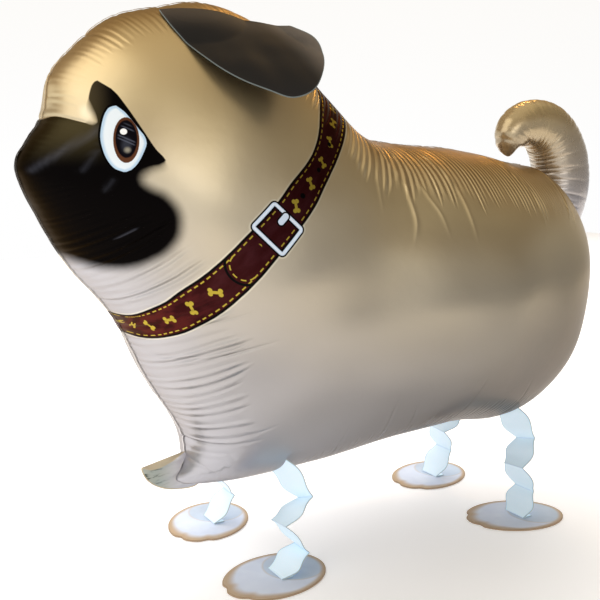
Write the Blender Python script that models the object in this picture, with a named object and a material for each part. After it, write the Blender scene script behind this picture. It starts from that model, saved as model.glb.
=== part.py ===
"""Pug foil balloon, standing on four folded card legs with flat card feet.

The envelope of head, neck and trunk is two flat foil panels, welded round their common edge and
blown up. Its weld lies in the upright middle plane. A curled foil tail and two flat ear flaps are
glued to it, and each leg is a card strip, folded like an accordion, between the belly and a foot.

Metres, +Z up. The nose points to -X and the dog's left side faces -Y. The floor is z = 0 and the
origin is on the floor, under the middle of the overall box.
"""

import math

import bmesh
import bpy
import numpy as np
from mathutils import Vector

# Overall sizes
BODY_LENGTH = 0.628
BELLY_HEIGHT = 0.078

# Fit between pieces that touch
GLUE_GAP = 0.0003

# Ear flaps
EAR_LENGTH = 0.128
EAR_THICKNESS = 0.0012
EAR_SLOPE = math.radians(41)
EAR_TOE_IN = math.radians(10)
EAR_CAMBER = 0.006
EAR_TIP_LIFT = math.radians(24)

# Tail
TAIL_FULLNESS = 0.9

# Filling neck, a flat corner of foil below the chest
NECK_FOIL_THICKNESS = 0.0016

# Card legs
LEG_WIDTH = 0.039
LEG_FOLD_WIDTH = 0.033
LEG_CARD = 0.0008
LEG_TAB_LENGTH = 0.012

# Card feet
FOOT_LENGTH = 0.110
FOOT_WIDTH = 0.083
FOOT_THICKNESS = 0.0015
TOE_NOTCH_DEPTH = 0.0035
TOE_NOTCH_ANGLE = math.radians(21)
TOE_NOTCH_SPREAD = math.radians(7)

# Where the legs stand, as shares of the body length: along, and out to the side
LEG_STATIONS = {"front": -0.231, "rear": 0.244}
LEG_SPREAD = 0.121

# Folds of each leg from its foot up to the belly: back, in and up from the middle of the foot
LEG_FOLDS = {
    "front_left": (
        (0.0, 0.0, 0.0),
        (0.0325, 0.006, 0.019),
        (0.0106, 0.013, 0.045),
        (0.0439, 0.019, 0.063),
        (0.0208, 0.026, 0.094),
    ),
    "front_right": (
        (0.0, 0.0, 0.0),
        (0.0216, 0.006, 0.032),
        (0.0010, 0.013, 0.057),
        (0.0287, 0.019, 0.078),
        (0.0150, 0.026, 0.094),
    ),
    "rear_left": (
        (0.0, 0.0, 0.0),
        (0.0194, 0.006, 0.027),
        (0.0084, 0.013, 0.052),
        (0.0311, 0.019, 0.079),
        (0.0106, 0.026, 0.110),
    ),
    "rear_right": (
        (0.0, 0.0, 0.0),
        (0.0178, 0.006, 0.035),
        (0.0005, 0.013, 0.063),
        (0.0245, 0.019, 0.088),
        (0.0120, 0.026, 0.110),
    ),
}

# Share of the belly's slope that each of these folds takes up, and how far a leg runs on past it
FOLD_LEAN = (0.0, 0.0, 0.15, 0.52, 1.0)
LEG_OVERRUN = 0.5

# How far each foot has turned on its leg, as it stands
FOOT_YAW = {
    "front_left": math.radians(18),
    "front_right": math.radians(48),
    "rear_left": math.radians(-14),
    "rear_right": math.radians(24),
}

# Weld line round the body: name, along, up from the belly, share of the spine that it faces.
# Places are shares of the body length, from a point midway between the legs.
WELD_LINE = (
    ("nose", -0.556, 0.482, 0.00),
    ("bridge", -0.539, 0.516, 0.00),
    ("stop", -0.517, 0.550, 0.00),
    ("brow", -0.507, 0.600, 0.02),
    ("forehead", -0.469, 0.645, 0.06),
    ("crown_front", -0.421, 0.683, 0.12),
    ("crown", -0.359, 0.701, 0.19),
    ("crown_back", -0.287, 0.713, 0.27),
    ("poll", -0.211, 0.691, 0.34),
    ("nape_top", -0.128, 0.621, 0.41),
    ("nape", -0.050, 0.539, 0.48),
    ("withers", 0.040, 0.519, 0.55),
    ("back", 0.168, 0.511, 0.68),
    ("loin", 0.279, 0.491, 0.80),
    ("croup", 0.362, 0.475, 0.90),
    ("rump_top", 0.420, 0.418, 0.97),
    ("rump", 0.444, 0.296, 1.00),
    ("rump_low", 0.413, 0.166, 1.00),
    ("thigh", 0.357, 0.070, 0.96),
    ("belly_rear", 0.254, 0.032, 0.84),
    ("belly", 0.111, 0.041, 0.70),
    ("belly_front", -0.056, 0.018, 0.56),
    ("brisket", -0.210, 0.000, 0.46),
    ("chest_low", -0.3365, 0.0057, 0.42),
    ("chest_fold", -0.3224, 0.0408, 0.40),
    ("chest", -0.3288, 0.0843, 0.38),
    ("throat_low", -0.383, 0.176, 0.30),
    ("throat", -0.428, 0.268, 0.20),
    ("chin", -0.495, 0.351, 0.06),
    ("lip", -0.531, 0.416, 0.01),
)

# Line in the middle plane that the rings of the envelope close on, from muzzle to rump
SPINE = (
    (-0.421, 0.499),
    (-0.336, 0.492),
    (-0.238, 0.436),
    (-0.126, 0.352),
    (0.000, 0.282),
    (0.140, 0.254),
    (0.252, 0.254),
)

# How full the foil stands at the head, the neck and the trunk: along, factor on the free shape
FULLNESS = ((-0.421, 0.936), (-0.140, 0.873), (0.140, 1.121))

# Tail centre line, from its tip to its root: along, up, half width
TAIL_LINE = (
    (0.314, 0.499, 0.018),
    (0.313, 0.522, 0.028),
    (0.331, 0.548, 0.037),
    (0.367, 0.558, 0.044),
    (0.407, 0.544, 0.050),
    (0.436, 0.503, 0.054),
    (0.446, 0.450, 0.054),
    (0.437, 0.401, 0.050),
    (0.418, 0.362, 0.044),
)

# Filling neck outline, from the chest round its curled point and back under the belly
NECK_OUTLINE = (
    (-0.318, 0.050),
    (-0.345, 0.038),
    (-0.362, 0.033),
    (-0.378, 0.033),
    (-0.395, 0.038),
    (-0.388, 0.019),
    (-0.366, 0.001),
    (-0.339, -0.008),
    (-0.300, -0.006),
    (-0.290, 0.030),
)

# Ear root's middle on the head, as shares of the body length: along, out, up
EAR_ROOT = (-0.308, 0.067, 0.679)

# Ear edges, as shares of the ear's length: along its root, and out down its slope
EAR_ROOT_EDGE = ((-0.300, -0.060), (-0.080, -0.045), (0.170, -0.035), (0.400, -0.010), (0.590, 0.060))
EAR_FREE_EDGE = (
    (-0.290, 0.045),
    (-0.255, 0.190),
    (-0.140, 0.430),
    (0.040, 0.660),
    (0.250, 0.820),
    (0.410, 0.885),
    (0.560, 0.830),
    (0.690, 0.640),
    (0.760, 0.420),
    (0.740, 0.240),
)
EAR_CREASE = ((0.500, 0.020), (0.780, 0.450))

# Mesh steps
SPINE_STEPS = 40
FAN_STEPS = 4
BODY_RINGS = 12
TAIL_STEPS = 30
TAIL_SIDES = 20
EAR_STEPS = 26
EAR_ROWS = 8
PANEL_STEPS = 6
FOOT_POINTS = 72

# Working values of the inflation field
FIELD_POINTS = 240
FIELD_SOURCES = 120
SOURCE_DISTANCE = 0.063
FIELD_SMOOTHING = 1e-6


def clear_scene():
    for item in list(bpy.data.objects):
        bpy.data.objects.remove(item, do_unlink=True)


def smooth_loop(points, count):
    """A closed curve through the points, with count even steps. Further columns ride along."""
    points = np.asarray(points, float)
    step = np.linspace(0, 1, 24, endpoint=False)[:, None]
    pieces = []
    for i in range(len(points)):
        before, start = points[i - 1], points[i]
        end, after = points[(i + 1) % len(points)], points[(i + 2) % len(points)]
        pieces.append(knot_span(before, start, end, after, step))
    dense = np.concatenate(pieces)
    return even_steps(np.vstack([dense, dense[:1]]), count + 1)[:-1]


def smooth_path(points, count):
    """An open curve through the points, with count even places along it."""
    points = np.asarray(points, float)
    padded = np.vstack([2 * points[0] - points[1], points, 2 * points[-1] - points[-2]])
    step = np.linspace(0, 1, 24, endpoint=False)[:, None]
    pieces = [knot_span(*padded[i:i + 4], step) for i in range(len(points) - 1)]
    return even_steps(np.vstack(pieces + [points[-1:]]), count)


def knot_span(before, start, end, after, step):
    """One span of a curve through four knots, whose speed follows the root of their spacing."""
    gaps = []
    for near, far in ((before, start), (start, end), (end, after)):
        gaps.append(max(math.dist(near[:2], far[:2]), 1e-6) ** 0.5)
    left, middle, right = gaps
    leave = end - start + middle * ((start - before) / left - (end - before) / (left + middle))
    arrive = end - start + middle * ((after - end) / right - (after - start) / (middle + right))
    square, cube = step ** 2, step ** 3
    value = (2 * cube - 3 * square + 1) * start + (cube - 2 * square + step) * leave
    return value + (3 * square - 2 * cube) * end + (cube - square) * arrive


def even_steps(curve, count):
    lengths = np.linalg.norm(np.diff(curve[:, :2], axis=0), axis=1)
    run = np.concatenate([[0], np.cumsum(lengths)])
    at = np.linspace(0, run[-1], count)
    return np.stack([np.interp(at, run, column) for column in curve.T], -1)


class Inflation:
    """Height of a film blown up over a flat outline.

    The squared half thickness of the envelope is twice a field whose Laplacian is -1 inside the
    weld line and which is 0 on it. The field is a sum of point sources just outside the line.
    """

    def __init__(self, outline):
        edge = smooth_loop(outline, FIELD_POINTS)
        turn = np.sum(edge[:, 0] * np.roll(edge[:, 1], -1) - np.roll(edge[:, 0], -1) * edge[:, 1])
        if turn < 0:
            edge = edge[::-1]
        along = np.roll(edge, -1, 0) - np.roll(edge, 1, 0)
        along /= np.linalg.norm(along, axis=1)[:, None]
        outward = np.stack([along[:, 1], -along[:, 0]], -1)
        picked = np.linspace(0, len(edge), FIELD_SOURCES, endpoint=False).astype(int)
        self.sources = edge[picked] + outward[picked] * SOURCE_DISTANCE
        self.middle = edge.mean(0)
        rows = np.hstack([self.source_logs(edge), np.ones((len(edge), 1))])
        target = ((edge - self.middle) ** 2).sum(1) / 4
        columns = rows.shape[1]
        rows = np.vstack([rows, FIELD_SMOOTHING * np.eye(columns)])
        target = np.concatenate([target, np.zeros(columns)])
        self.strengths = np.linalg.lstsq(rows, target, rcond=None)[0]

    def source_logs(self, places):
        offset = places[:, None, :] - self.sources[None]
        return 0.5 * np.log((offset ** 2).sum(-1))

    def half_width(self, places):
        bowl = ((places - self.middle) ** 2).sum(1) / 4
        field = self.source_logs(places) @ self.strengths[:-1] + self.strengths[-1] - bowl
        return fullness(places[:, 0]) * np.sqrt(2 * np.maximum(field, 0))


def fullness(along):
    """The fullness factor at places along the body, eased between its knots."""
    factor = np.full(len(along), FULLNESS[0][1])
    for (start, low), (end, high) in zip(FULLNESS, FULLNESS[1:]):
        share = np.clip((along - start) / (end - start), 0, 1)
        factor += (high - low) * share * share * (3 - 2 * share)
    return factor


def weld_stations():
    """Places round the weld line, each with the number of the spine step that it faces."""
    dense = smooth_loop([row[1:] for row in WELD_LINE], 4000)
    rump = int(np.argmax(dense[:, 0]))
    upper = dense[:rump + 1]
    lower = np.vstack([dense[rump:], dense[:1]])[::-1]
    stations = run_stations(upper)
    back = run_stations(lower)[::-1]
    return stations + back[1:-1]


def run_stations(run):
    """Stations from the nose to the rump: a fan, one for each spine step, and a fan."""
    share = np.maximum.accumulate(np.clip(run[:, 2], 0, 1))
    first = int(np.nonzero(share > 0)[0][0])
    last = int(np.nonzero(share >= share[-1])[0][0])
    picked = [(index, 0) for index in np.linspace(0, first, FAN_STEPS).astype(int)]
    for step in range(1, SPINE_STEPS):
        index = int(np.searchsorted(share, step / SPINE_STEPS))
        picked.append((min(max(index, first + step), last - 1), step))
    picked += [(index, SPINE_STEPS) for index in np.linspace(last, len(run) - 1, FAN_STEPS).astype(int)]
    return [(run[index, 0], run[index, 1], step) for index, step in picked]


def envelope_mesh(film, frame):
    """The two blown-up panels as one closed mesh, which shares its edge points and spine points."""
    stations = weld_stations()
    spine = smooth_path(SPINE, SPINE_STEPS + 1)
    mesh = bmesh.new()
    edge = [mesh.verts.new(frame.place(x, 0, z)) for x, z, _ in stations]
    spread = film.half_width(spine)
    for side in (-1, 1):
        ridge = [mesh.verts.new(frame.place(x, side * y, z)) for (x, z), y in zip(spine, spread)]
        rings = []
        for (x, z, step), rim in zip(stations, edge):
            angle = np.arange(1, BODY_RINGS) / BODY_RINGS * math.pi / 2
            inward = (1 - np.cos(angle))[:, None]
            places = np.array([x, z]) + (spine[step] - np.array([x, z])) * inward
            widths = film.half_width(places)
            ring = [mesh.verts.new(frame.place(px, side * w, pz)) for (px, pz), w in zip(places, widths)]
            rings.append([rim] + ring + [ridge[step]])
        for ring, following in zip(rings, rings[1:] + rings[:1]):
            for row in range(BODY_RINGS):
                corners = [ring[row], following[row], following[row + 1], ring[row + 1]]
                mesh.faces.new(list(dict.fromkeys(corners)))
    bmesh.ops.recalc_face_normals(mesh, faces=mesh.faces)
    return mesh


class Frame:
    """Turns shares of the body length into metres, with the overall box centred on x = 0."""

    def __init__(self):
        weld = smooth_loop([row[1:] for row in WELD_LINE], 4000)
        tail = tail_stations()
        low = weld[:, 0].min()
        high = max(x + half for (x, _), _, half in tail)
        self.middle = (low + high) / 2

    def place(self, along, out, up):
        x = (along - self.middle) * BODY_LENGTH
        return Vector((x, out * BODY_LENGTH, BELLY_HEIGHT + up * BODY_LENGTH))


def tail_stations():
    """Centre, sideways direction and half width of each station, from a round tip to the root."""
    line = smooth_path(TAIL_LINE, TAIL_STEPS)
    heading = np.gradient(line[:, :2], axis=0)
    heading /= np.linalg.norm(heading, axis=1)[:, None]
    across = np.stack([heading[:, 1], -heading[:, 0]], -1)
    run = np.linspace(0, 1, TAIL_STEPS)
    tip = np.clip(run / 0.12, 0, 1)
    rounding = np.sqrt(np.clip(1 - (1 - tip) ** 2, 0.06, 1))
    return [(tuple(row[:2]), side, row[2] * share) for row, side, share in zip(line, across, rounding)]


def tail_mesh(frame):
    mesh = bmesh.new()
    rings = []
    for (x, z), side, half in tail_stations():
        ring = []
        for turn in range(TAIL_SIDES):
            angle = 2 * math.pi * turn / TAIL_SIDES
            reach = half * math.cos(angle)
            out = half * TAIL_FULLNESS * math.sin(angle)
            ring.append(mesh.verts.new(frame.place(x + side[0] * reach, out, z + side[1] * reach)))
        rings.append(ring)
    skin_rings(mesh, rings)
    return mesh


def skin_rings(mesh, rings):
    """Joins closed rings of equal length in turn and caps both ends."""
    for ring, following in zip(rings, rings[1:]):
        for i in range(len(ring)):
            j = (i + 1) % len(ring)
            mesh.faces.new((ring[i], ring[j], following[j], following[i]))
    mesh.faces.new(rings[0])
    mesh.faces.new(rings[-1])
    bmesh.ops.triangulate(mesh, faces=mesh.faces)
    bmesh.ops.recalc_face_normals(mesh, faces=mesh.faces)


def neck_mesh(frame):
    """The flat filling neck, with its half inside the envelope that it is fused to."""
    half = NECK_FOIL_THICKNESS / 2 / BODY_LENGTH
    mesh = bmesh.new()
    sides = []
    for out in (-half, half):
        sides.append([mesh.verts.new(frame.place(x, out, z)) for x, z in NECK_OUTLINE])
    skin_rings(mesh, sides)
    return mesh


def ear_mesh(frame, side):
    """A flat flap between its root edge and its free edge, sloping down, with its tip turned up."""
    root = smooth_path(EAR_ROOT_EDGE, EAR_STEPS)
    free = smooth_path((EAR_ROOT_EDGE[0],) + EAR_FREE_EDGE + (EAR_ROOT_EDGE[-1],), EAR_STEPS)
    origin = frame.place(EAR_ROOT[0], side * EAR_ROOT[1], EAR_ROOT[2])
    along = Vector((math.cos(EAR_TOE_IN), side * math.sin(EAR_TOE_IN), 0))
    level = Vector((-math.sin(EAR_TOE_IN), side * math.cos(EAR_TOE_IN), 0))
    outward = level * math.cos(EAR_SLOPE) - Vector((0, 0, math.sin(EAR_SLOPE)))
    top = level * math.sin(EAR_SLOPE) + Vector((0, 0, math.cos(EAR_SLOPE)))
    mesh = bmesh.new()
    rings = []
    for near, far in list(zip(root, free))[1:-1]:
        above, below = [], []
        for row in range(EAR_ROWS + 1):
            s, o = near + (far - near) * row / EAR_ROWS
            place = origin + (along * s + outward * o) * EAR_LENGTH + top * ear_rise(s, o)
            above.append(mesh.verts.new(place + top * EAR_THICKNESS / 2))
            below.append(mesh.verts.new(place - top * EAR_THICKNESS / 2))
        rings.append(above + below[::-1])
    skin_rings(mesh, rings)
    return mesh


def ear_rise(s, o):
    """Height of the flap over its plane: a soft camber, and the tip past the crease turned up."""
    (s0, o0), (s1, o1) = EAR_CREASE
    past = ((s - s0) * (o1 - o0) - (o - o0) * (s1 - s0)) / math.hypot(s1 - s0, o1 - o0)
    lift = max(past, 0) * EAR_LENGTH * math.tan(EAR_TIP_LIFT)
    return EAR_CAMBER * math.sin(math.pi * min(max(o, 0), 1)) + lift


def underside(film, along, out):
    """Height share at which the belly is out wide, above the given place along the body."""
    heights = np.linspace(-0.02, 0.25, 600)
    widths = film.half_width(np.stack([np.full_like(heights, along), heights], -1))
    reached = int(np.argmax(widths >= out))
    if widths[reached] < out:
        reached = int(np.argmax(widths))
    return heights[reached]


def leg_profile(folds, foot_top):
    """Middle line of a folded strip, from its glue tab up into the belly: back, up, in, bulge, lean."""
    places = [(back, max(up, foot_top), inward, lean) for (back, inward, up), lean in zip(folds, FOLD_LEAN)]
    before, last = np.array(places[-2]), np.array(places[-1])
    over = last + (last - before) * LEG_OVERRUN
    places[-1] = (over[0], over[1], over[2], FOLD_LEAN[-1])
    line = [(LEG_TAB_LENGTH, foot_top, 0.0, 0.0, 0.0)]
    for start, end in zip(places, places[1:]):
        for step in range(PANEL_STEPS):
            share = step / PANEL_STEPS
            back, up, inward, lean = (a + (b - a) * share for a, b in zip(start, end))
            line.append((back, up, inward, math.sin(math.pi * share), lean))
    back, up, inward, lean = places[-1]
    line.append((back, up, inward, 0.0, lean))
    return line


def offset_line(line, distance):
    """The line moved sideways by a distance, with mitred folds."""
    flat = [Vector(point[:2]) for point in line]
    moved = []
    for i, point in enumerate(flat):
        before = (point - flat[i - 1]).normalized() if i else (flat[1] - flat[0]).normalized()
        after = (flat[i + 1] - point).normalized() if i + 1 < len(flat) else before
        sides = [Vector((-way.y, way.x)) for way in (before, after)]
        mitre = (sides[0] + sides[1]).normalized()
        moved.append(point + mitre * distance / mitre.dot(sides[0]))
    return moved


def leg_mesh(frame, film, row, side, folds):
    """A folded strip that leans out from the belly to its foot. Its folds tilt as the belly does."""
    foot = frame.place(LEG_STATIONS[row], side * LEG_SPREAD, 0)
    back, inward, _ = folds[-1]
    station = LEG_STATIONS[row] + back / BODY_LENGTH
    out = LEG_SPREAD - inward / BODY_LENGTH
    half_share = LEG_FOLD_WIDTH / 2 / BODY_LENGTH
    inner = underside(film, station, out - half_share)
    outer = underside(film, station, out + half_share)
    slope = (outer - inner) / (2 * half_share)
    line = leg_profile(folds, FOOT_THICKNESS + GLUE_GAP + LEG_CARD / 2)
    faces = [offset_line(line, LEG_CARD / 2), offset_line(line, -LEG_CARD / 2)]
    mesh = bmesh.new()
    rings = []
    for index, (_, _, inward, bulge, lean) in enumerate(line):
        half = (LEG_FOLD_WIDTH + (LEG_WIDTH - LEG_FOLD_WIDTH) * bulge) / 2
        ring = []
        for face, across in ((0, -half), (0, half), (1, half), (1, -half)):
            x, z = faces[face][index]
            y = foot.y - side * inward + across
            ring.append(mesh.verts.new((foot.x + x, y, z + slope * lean * across * side)))
        rings.append(ring)
    skin_rings(mesh, rings)
    return mesh


def foot_mesh(frame, row, side, yaw):
    """A flat oval card with two notches between its toes."""
    centre = frame.place(LEG_STATIONS[row], side * LEG_SPREAD, 0)
    mesh = bmesh.new()
    rings = []
    for z in (0.0, FOOT_THICKNESS):
        ring = []
        for number in range(FOOT_POINTS):
            angle = 2 * math.pi * number / FOOT_POINTS
            off_toe = abs(math.remainder(angle - math.pi, 2 * math.pi))
            notch = math.exp(-((off_toe - TOE_NOTCH_ANGLE) / TOE_NOTCH_SPREAD) ** 2)
            long = math.cos(angle) * (FOOT_LENGTH / 2 - TOE_NOTCH_DEPTH * notch)
            wide = math.sin(angle) * (FOOT_WIDTH / 2)
            x = centre.x + long * math.cos(yaw) - wide * math.sin(yaw)
            y = centre.y + long * math.sin(yaw) + wide * math.cos(yaw)
            ring.append(mesh.verts.new((x, y, z)))
        rings.append(ring)
    skin_rings(mesh, rings)
    return mesh


def finish(name, colour, roughness, metallic):
    material = bpy.data.materials.new(name)
    material.use_nodes = True
    shader = material.node_tree.nodes["Principled BSDF"]
    shader.inputs["Base Color"].default_value = (*colour, 1)
    shader.inputs["Roughness"].default_value = roughness
    shader.inputs["Metallic"].default_value = metallic
    return material


def fawn_foil():
    return finish("fawn_foil", (0.56, 0.45, 0.31), 0.3, 0.6)


def tail_foil():
    return finish("tail_foil", (0.52, 0.44, 0.33), 0.3, 0.6)


def ear_foil():
    return finish("ear_foil", (0.045, 0.035, 0.032), 0.4, 0.3)


def white_card():
    return finish("white_card", (0.82, 0.86, 0.92), 0.7, 0.0)


def foot_card():
    return finish("foot_card", (0.74, 0.72, 0.76), 0.65, 0.0)


def add_piece(name, mesh, material=None, smooth=True):
    data = bpy.data.meshes.new(name)
    mesh.to_mesh(data)
    mesh.free()
    if smooth:
        data.shade_smooth()
        data.set_sharp_from_angle(angle=math.radians(40))
    if material:
        data.materials.append(material)
    piece = bpy.data.objects.new(name, data)
    bpy.context.scene.collection.objects.link(piece)
    return piece


def as_guide(piece):
    piece.hide_render = True
    piece.display_type = "WIRE"
    return piece


def boolean(piece, other, operation):
    modifier = piece.modifiers.new(operation.lower(), "BOOLEAN")
    modifier.operation = operation
    modifier.object = other
    modifier.solver = "EXACT"


def body_clearance(film, frame):
    """The envelope pushed out by the glue gap: what is glued to the body is trimmed by it."""
    mesh = envelope_mesh(film, frame)
    mesh.normal_update()
    moves = [vert.normal * GLUE_GAP * vert.calc_shell_factor() for vert in mesh.verts]
    for vert, move in zip(mesh.verts, moves):
        vert.co += move
    return as_guide(add_piece("body_clearance", mesh))


def main():
    clear_scene()
    frame = Frame()
    film = Inflation([row[1:3] for row in WELD_LINE])
    body = add_piece("foil_body", envelope_mesh(film, frame), fawn_foil())
    neck = as_guide(add_piece("neck_shape", neck_mesh(frame)))
    boolean(body, neck, "UNION")
    clearance = body_clearance(film, frame)

    tail = add_piece("tail", tail_mesh(frame), tail_foil())
    boolean(tail, clearance, "DIFFERENCE")

    dark, card, print_card = ear_foil(), white_card(), foot_card()
    for side, word in ((-1, "left"), (1, "right")):
        ear = add_piece(f"ear_{word}", ear_mesh(frame, side), dark)
        boolean(ear, clearance, "DIFFERENCE")
        for row in ("front", "rear"):
            folds = LEG_FOLDS[f"{row}_{word}"]
            leg = add_piece(f"leg_{row}_{word}", leg_mesh(frame, film, row, side, folds), card)
            boolean(leg, clearance, "DIFFERENCE")
            yaw = FOOT_YAW[f"{row}_{word}"]
            add_piece(f"foot_{row}_{word}", foot_mesh(frame, row, side, yaw), print_card)


main()
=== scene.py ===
import math

import bmesh
import bpy
import numpy as np
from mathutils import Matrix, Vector
from mathutils.geometry import delaunay_2d_cdt


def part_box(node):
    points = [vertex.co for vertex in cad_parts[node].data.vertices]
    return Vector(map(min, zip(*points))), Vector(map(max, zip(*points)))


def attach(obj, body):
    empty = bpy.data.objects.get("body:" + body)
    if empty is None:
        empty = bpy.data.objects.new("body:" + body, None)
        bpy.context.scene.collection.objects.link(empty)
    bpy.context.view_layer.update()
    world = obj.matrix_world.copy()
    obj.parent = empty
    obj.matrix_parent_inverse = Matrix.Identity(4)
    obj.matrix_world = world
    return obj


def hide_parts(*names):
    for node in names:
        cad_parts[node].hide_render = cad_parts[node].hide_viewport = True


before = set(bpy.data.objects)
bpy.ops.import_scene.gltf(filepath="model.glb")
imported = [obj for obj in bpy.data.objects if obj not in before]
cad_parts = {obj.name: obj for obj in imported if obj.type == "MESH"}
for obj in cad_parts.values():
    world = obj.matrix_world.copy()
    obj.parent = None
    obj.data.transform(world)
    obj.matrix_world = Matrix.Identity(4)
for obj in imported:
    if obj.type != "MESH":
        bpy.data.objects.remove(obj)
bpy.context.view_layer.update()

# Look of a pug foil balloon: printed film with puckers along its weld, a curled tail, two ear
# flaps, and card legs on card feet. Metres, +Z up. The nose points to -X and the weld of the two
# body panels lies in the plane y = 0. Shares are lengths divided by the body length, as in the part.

# Sizes shared with the part
BODY_LENGTH = 0.628
BELLY_HEIGHT = 0.078
GLUE_GAP = 0.0003
EAR_LENGTH = 0.128
EAR_THICKNESS = 0.0008
EAR_SLOPE = math.radians(41)
EAR_TOE_IN = math.radians(10)
EAR_CAMBER = 0.006
EAR_TIP_LIFT = math.radians(24)
TAIL_FULLNESS = 0.9
LEG_WIDTH = 0.039
LEG_FOLD_WIDTH = 0.033
LEG_CARD = 0.0008
LEG_TAB_LENGTH = 0.012
LEG_OVERRUN = 0.12
FOLD_LEAN = (0.0, 0.0, 0.15, 0.52, 1.0)
LEG_FOLDS = {
    "front_left": (
        (0.0, 0.0, 0.0),
        (0.0325, 0.006, 0.019),
        (0.0106, 0.013, 0.045),
        (0.0439, 0.019, 0.063),
        (0.0208, 0.026, 0.094),
    ),
    "front_right": (
        (0.0, 0.0, 0.0),
        (0.0216, 0.006, 0.032),
        (0.0010, 0.013, 0.057),
        (0.0287, 0.019, 0.078),
        (0.0150, 0.026, 0.094),
    ),
    "rear_left": (
        (0.0, 0.0, 0.0),
        (0.0194, 0.006, 0.027),
        (0.0084, 0.013, 0.052),
        (0.0311, 0.019, 0.079),
        (0.0106, 0.026, 0.110),
    ),
    "rear_right": (
        (0.0, 0.0, 0.0),
        (0.0178, 0.006, 0.035),
        (0.0005, 0.013, 0.063),
        (0.0245, 0.019, 0.088),
        (0.0120, 0.026, 0.110),
    ),
}
FOOT_LENGTH = 0.110
FOOT_WIDTH = 0.083
FOOT_THICKNESS = 0.0015
TOE_NOTCH_DEPTH = 0.0035
TOE_NOTCH_ANGLE = math.radians(21)
TOE_NOTCH_SPREAD = math.radians(7)
LEG_STATIONS = {"front": -0.231, "rear": 0.244}
LEG_SPREAD = 0.121
FOOT_YAW = {
    "front_left": math.radians(18),
    "front_right": math.radians(48),
    "rear_left": math.radians(-14),
    "rear_right": math.radians(24),
}

# Weld line round the body, in shares: name, along, up. It starts under the rump.
WELD_LINE = (
    ("thigh", 0.357, 0.070),
    ("belly_rear", 0.254, 0.032),
    ("belly", 0.111, 0.041),
    ("belly_front", -0.056, 0.018),
    ("brisket", -0.210, 0.000),
    ("chest_low", -0.3365, 0.0057),
    ("chest_fold", -0.3224, 0.0408),
    ("chest", -0.3288, 0.0843),
    ("throat_low", -0.383, 0.176),
    ("throat", -0.428, 0.268),
    ("chin", -0.495, 0.351),
    ("lip", -0.531, 0.416),
    ("nose", -0.556, 0.482),
    ("bridge", -0.539, 0.516),
    ("stop", -0.517, 0.550),
    ("brow", -0.507, 0.600),
    ("forehead", -0.469, 0.645),
    ("crown_front", -0.421, 0.683),
    ("crown", -0.359, 0.701),
    ("crown_back", -0.287, 0.713),
    ("poll", -0.211, 0.691),
    ("nape_top", -0.128, 0.621),
    ("nape", -0.050, 0.539),
    ("withers", 0.040, 0.519),
    ("back", 0.168, 0.511),
    ("loin", 0.279, 0.491),
    ("croup", 0.362, 0.475),
    ("rump_top", 0.420, 0.418),
    ("rump", 0.444, 0.296),
    ("rump_low", 0.413, 0.166),
)

# How full the foil stands at the head, the neck and the trunk: along, factor on the free shape
FULLNESS = ((-0.421, 0.936), (-0.140, 0.873), (0.140, 1.121))

TAIL_LINE = (
    (0.314, 0.499, 0.018),
    (0.313, 0.522, 0.028),
    (0.331, 0.548, 0.037),
    (0.367, 0.558, 0.044),
    (0.407, 0.544, 0.050),
    (0.436, 0.503, 0.054),
    (0.446, 0.450, 0.054),
    (0.437, 0.401, 0.050),
    (0.418, 0.362, 0.044),
)

NECK_OUTLINE = (
    (-0.318, 0.050), (-0.345, 0.038), (-0.362, 0.033), (-0.378, 0.033), (-0.395, 0.038),
    (-0.388, 0.019), (-0.366, 0.001), (-0.339, -0.008), (-0.300, -0.006), (-0.290, 0.030),
)

EAR_ROOT = (-0.308, 0.067, 0.679)
EAR_ROOT_EDGE = ((-0.300, -0.060), (-0.080, -0.045), (0.170, -0.035), (0.400, -0.010), (0.590, 0.060))
EAR_FREE_EDGE = (
    (-0.290, 0.045), (-0.255, 0.190), (-0.140, 0.430), (0.040, 0.660), (0.245, 0.790),
    (0.400, 0.850), (0.545, 0.795), (0.668, 0.610), (0.730, 0.400), (0.712, 0.228),
)
EAR_CREASE = ((0.500, 0.020), (0.780, 0.450))

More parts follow.
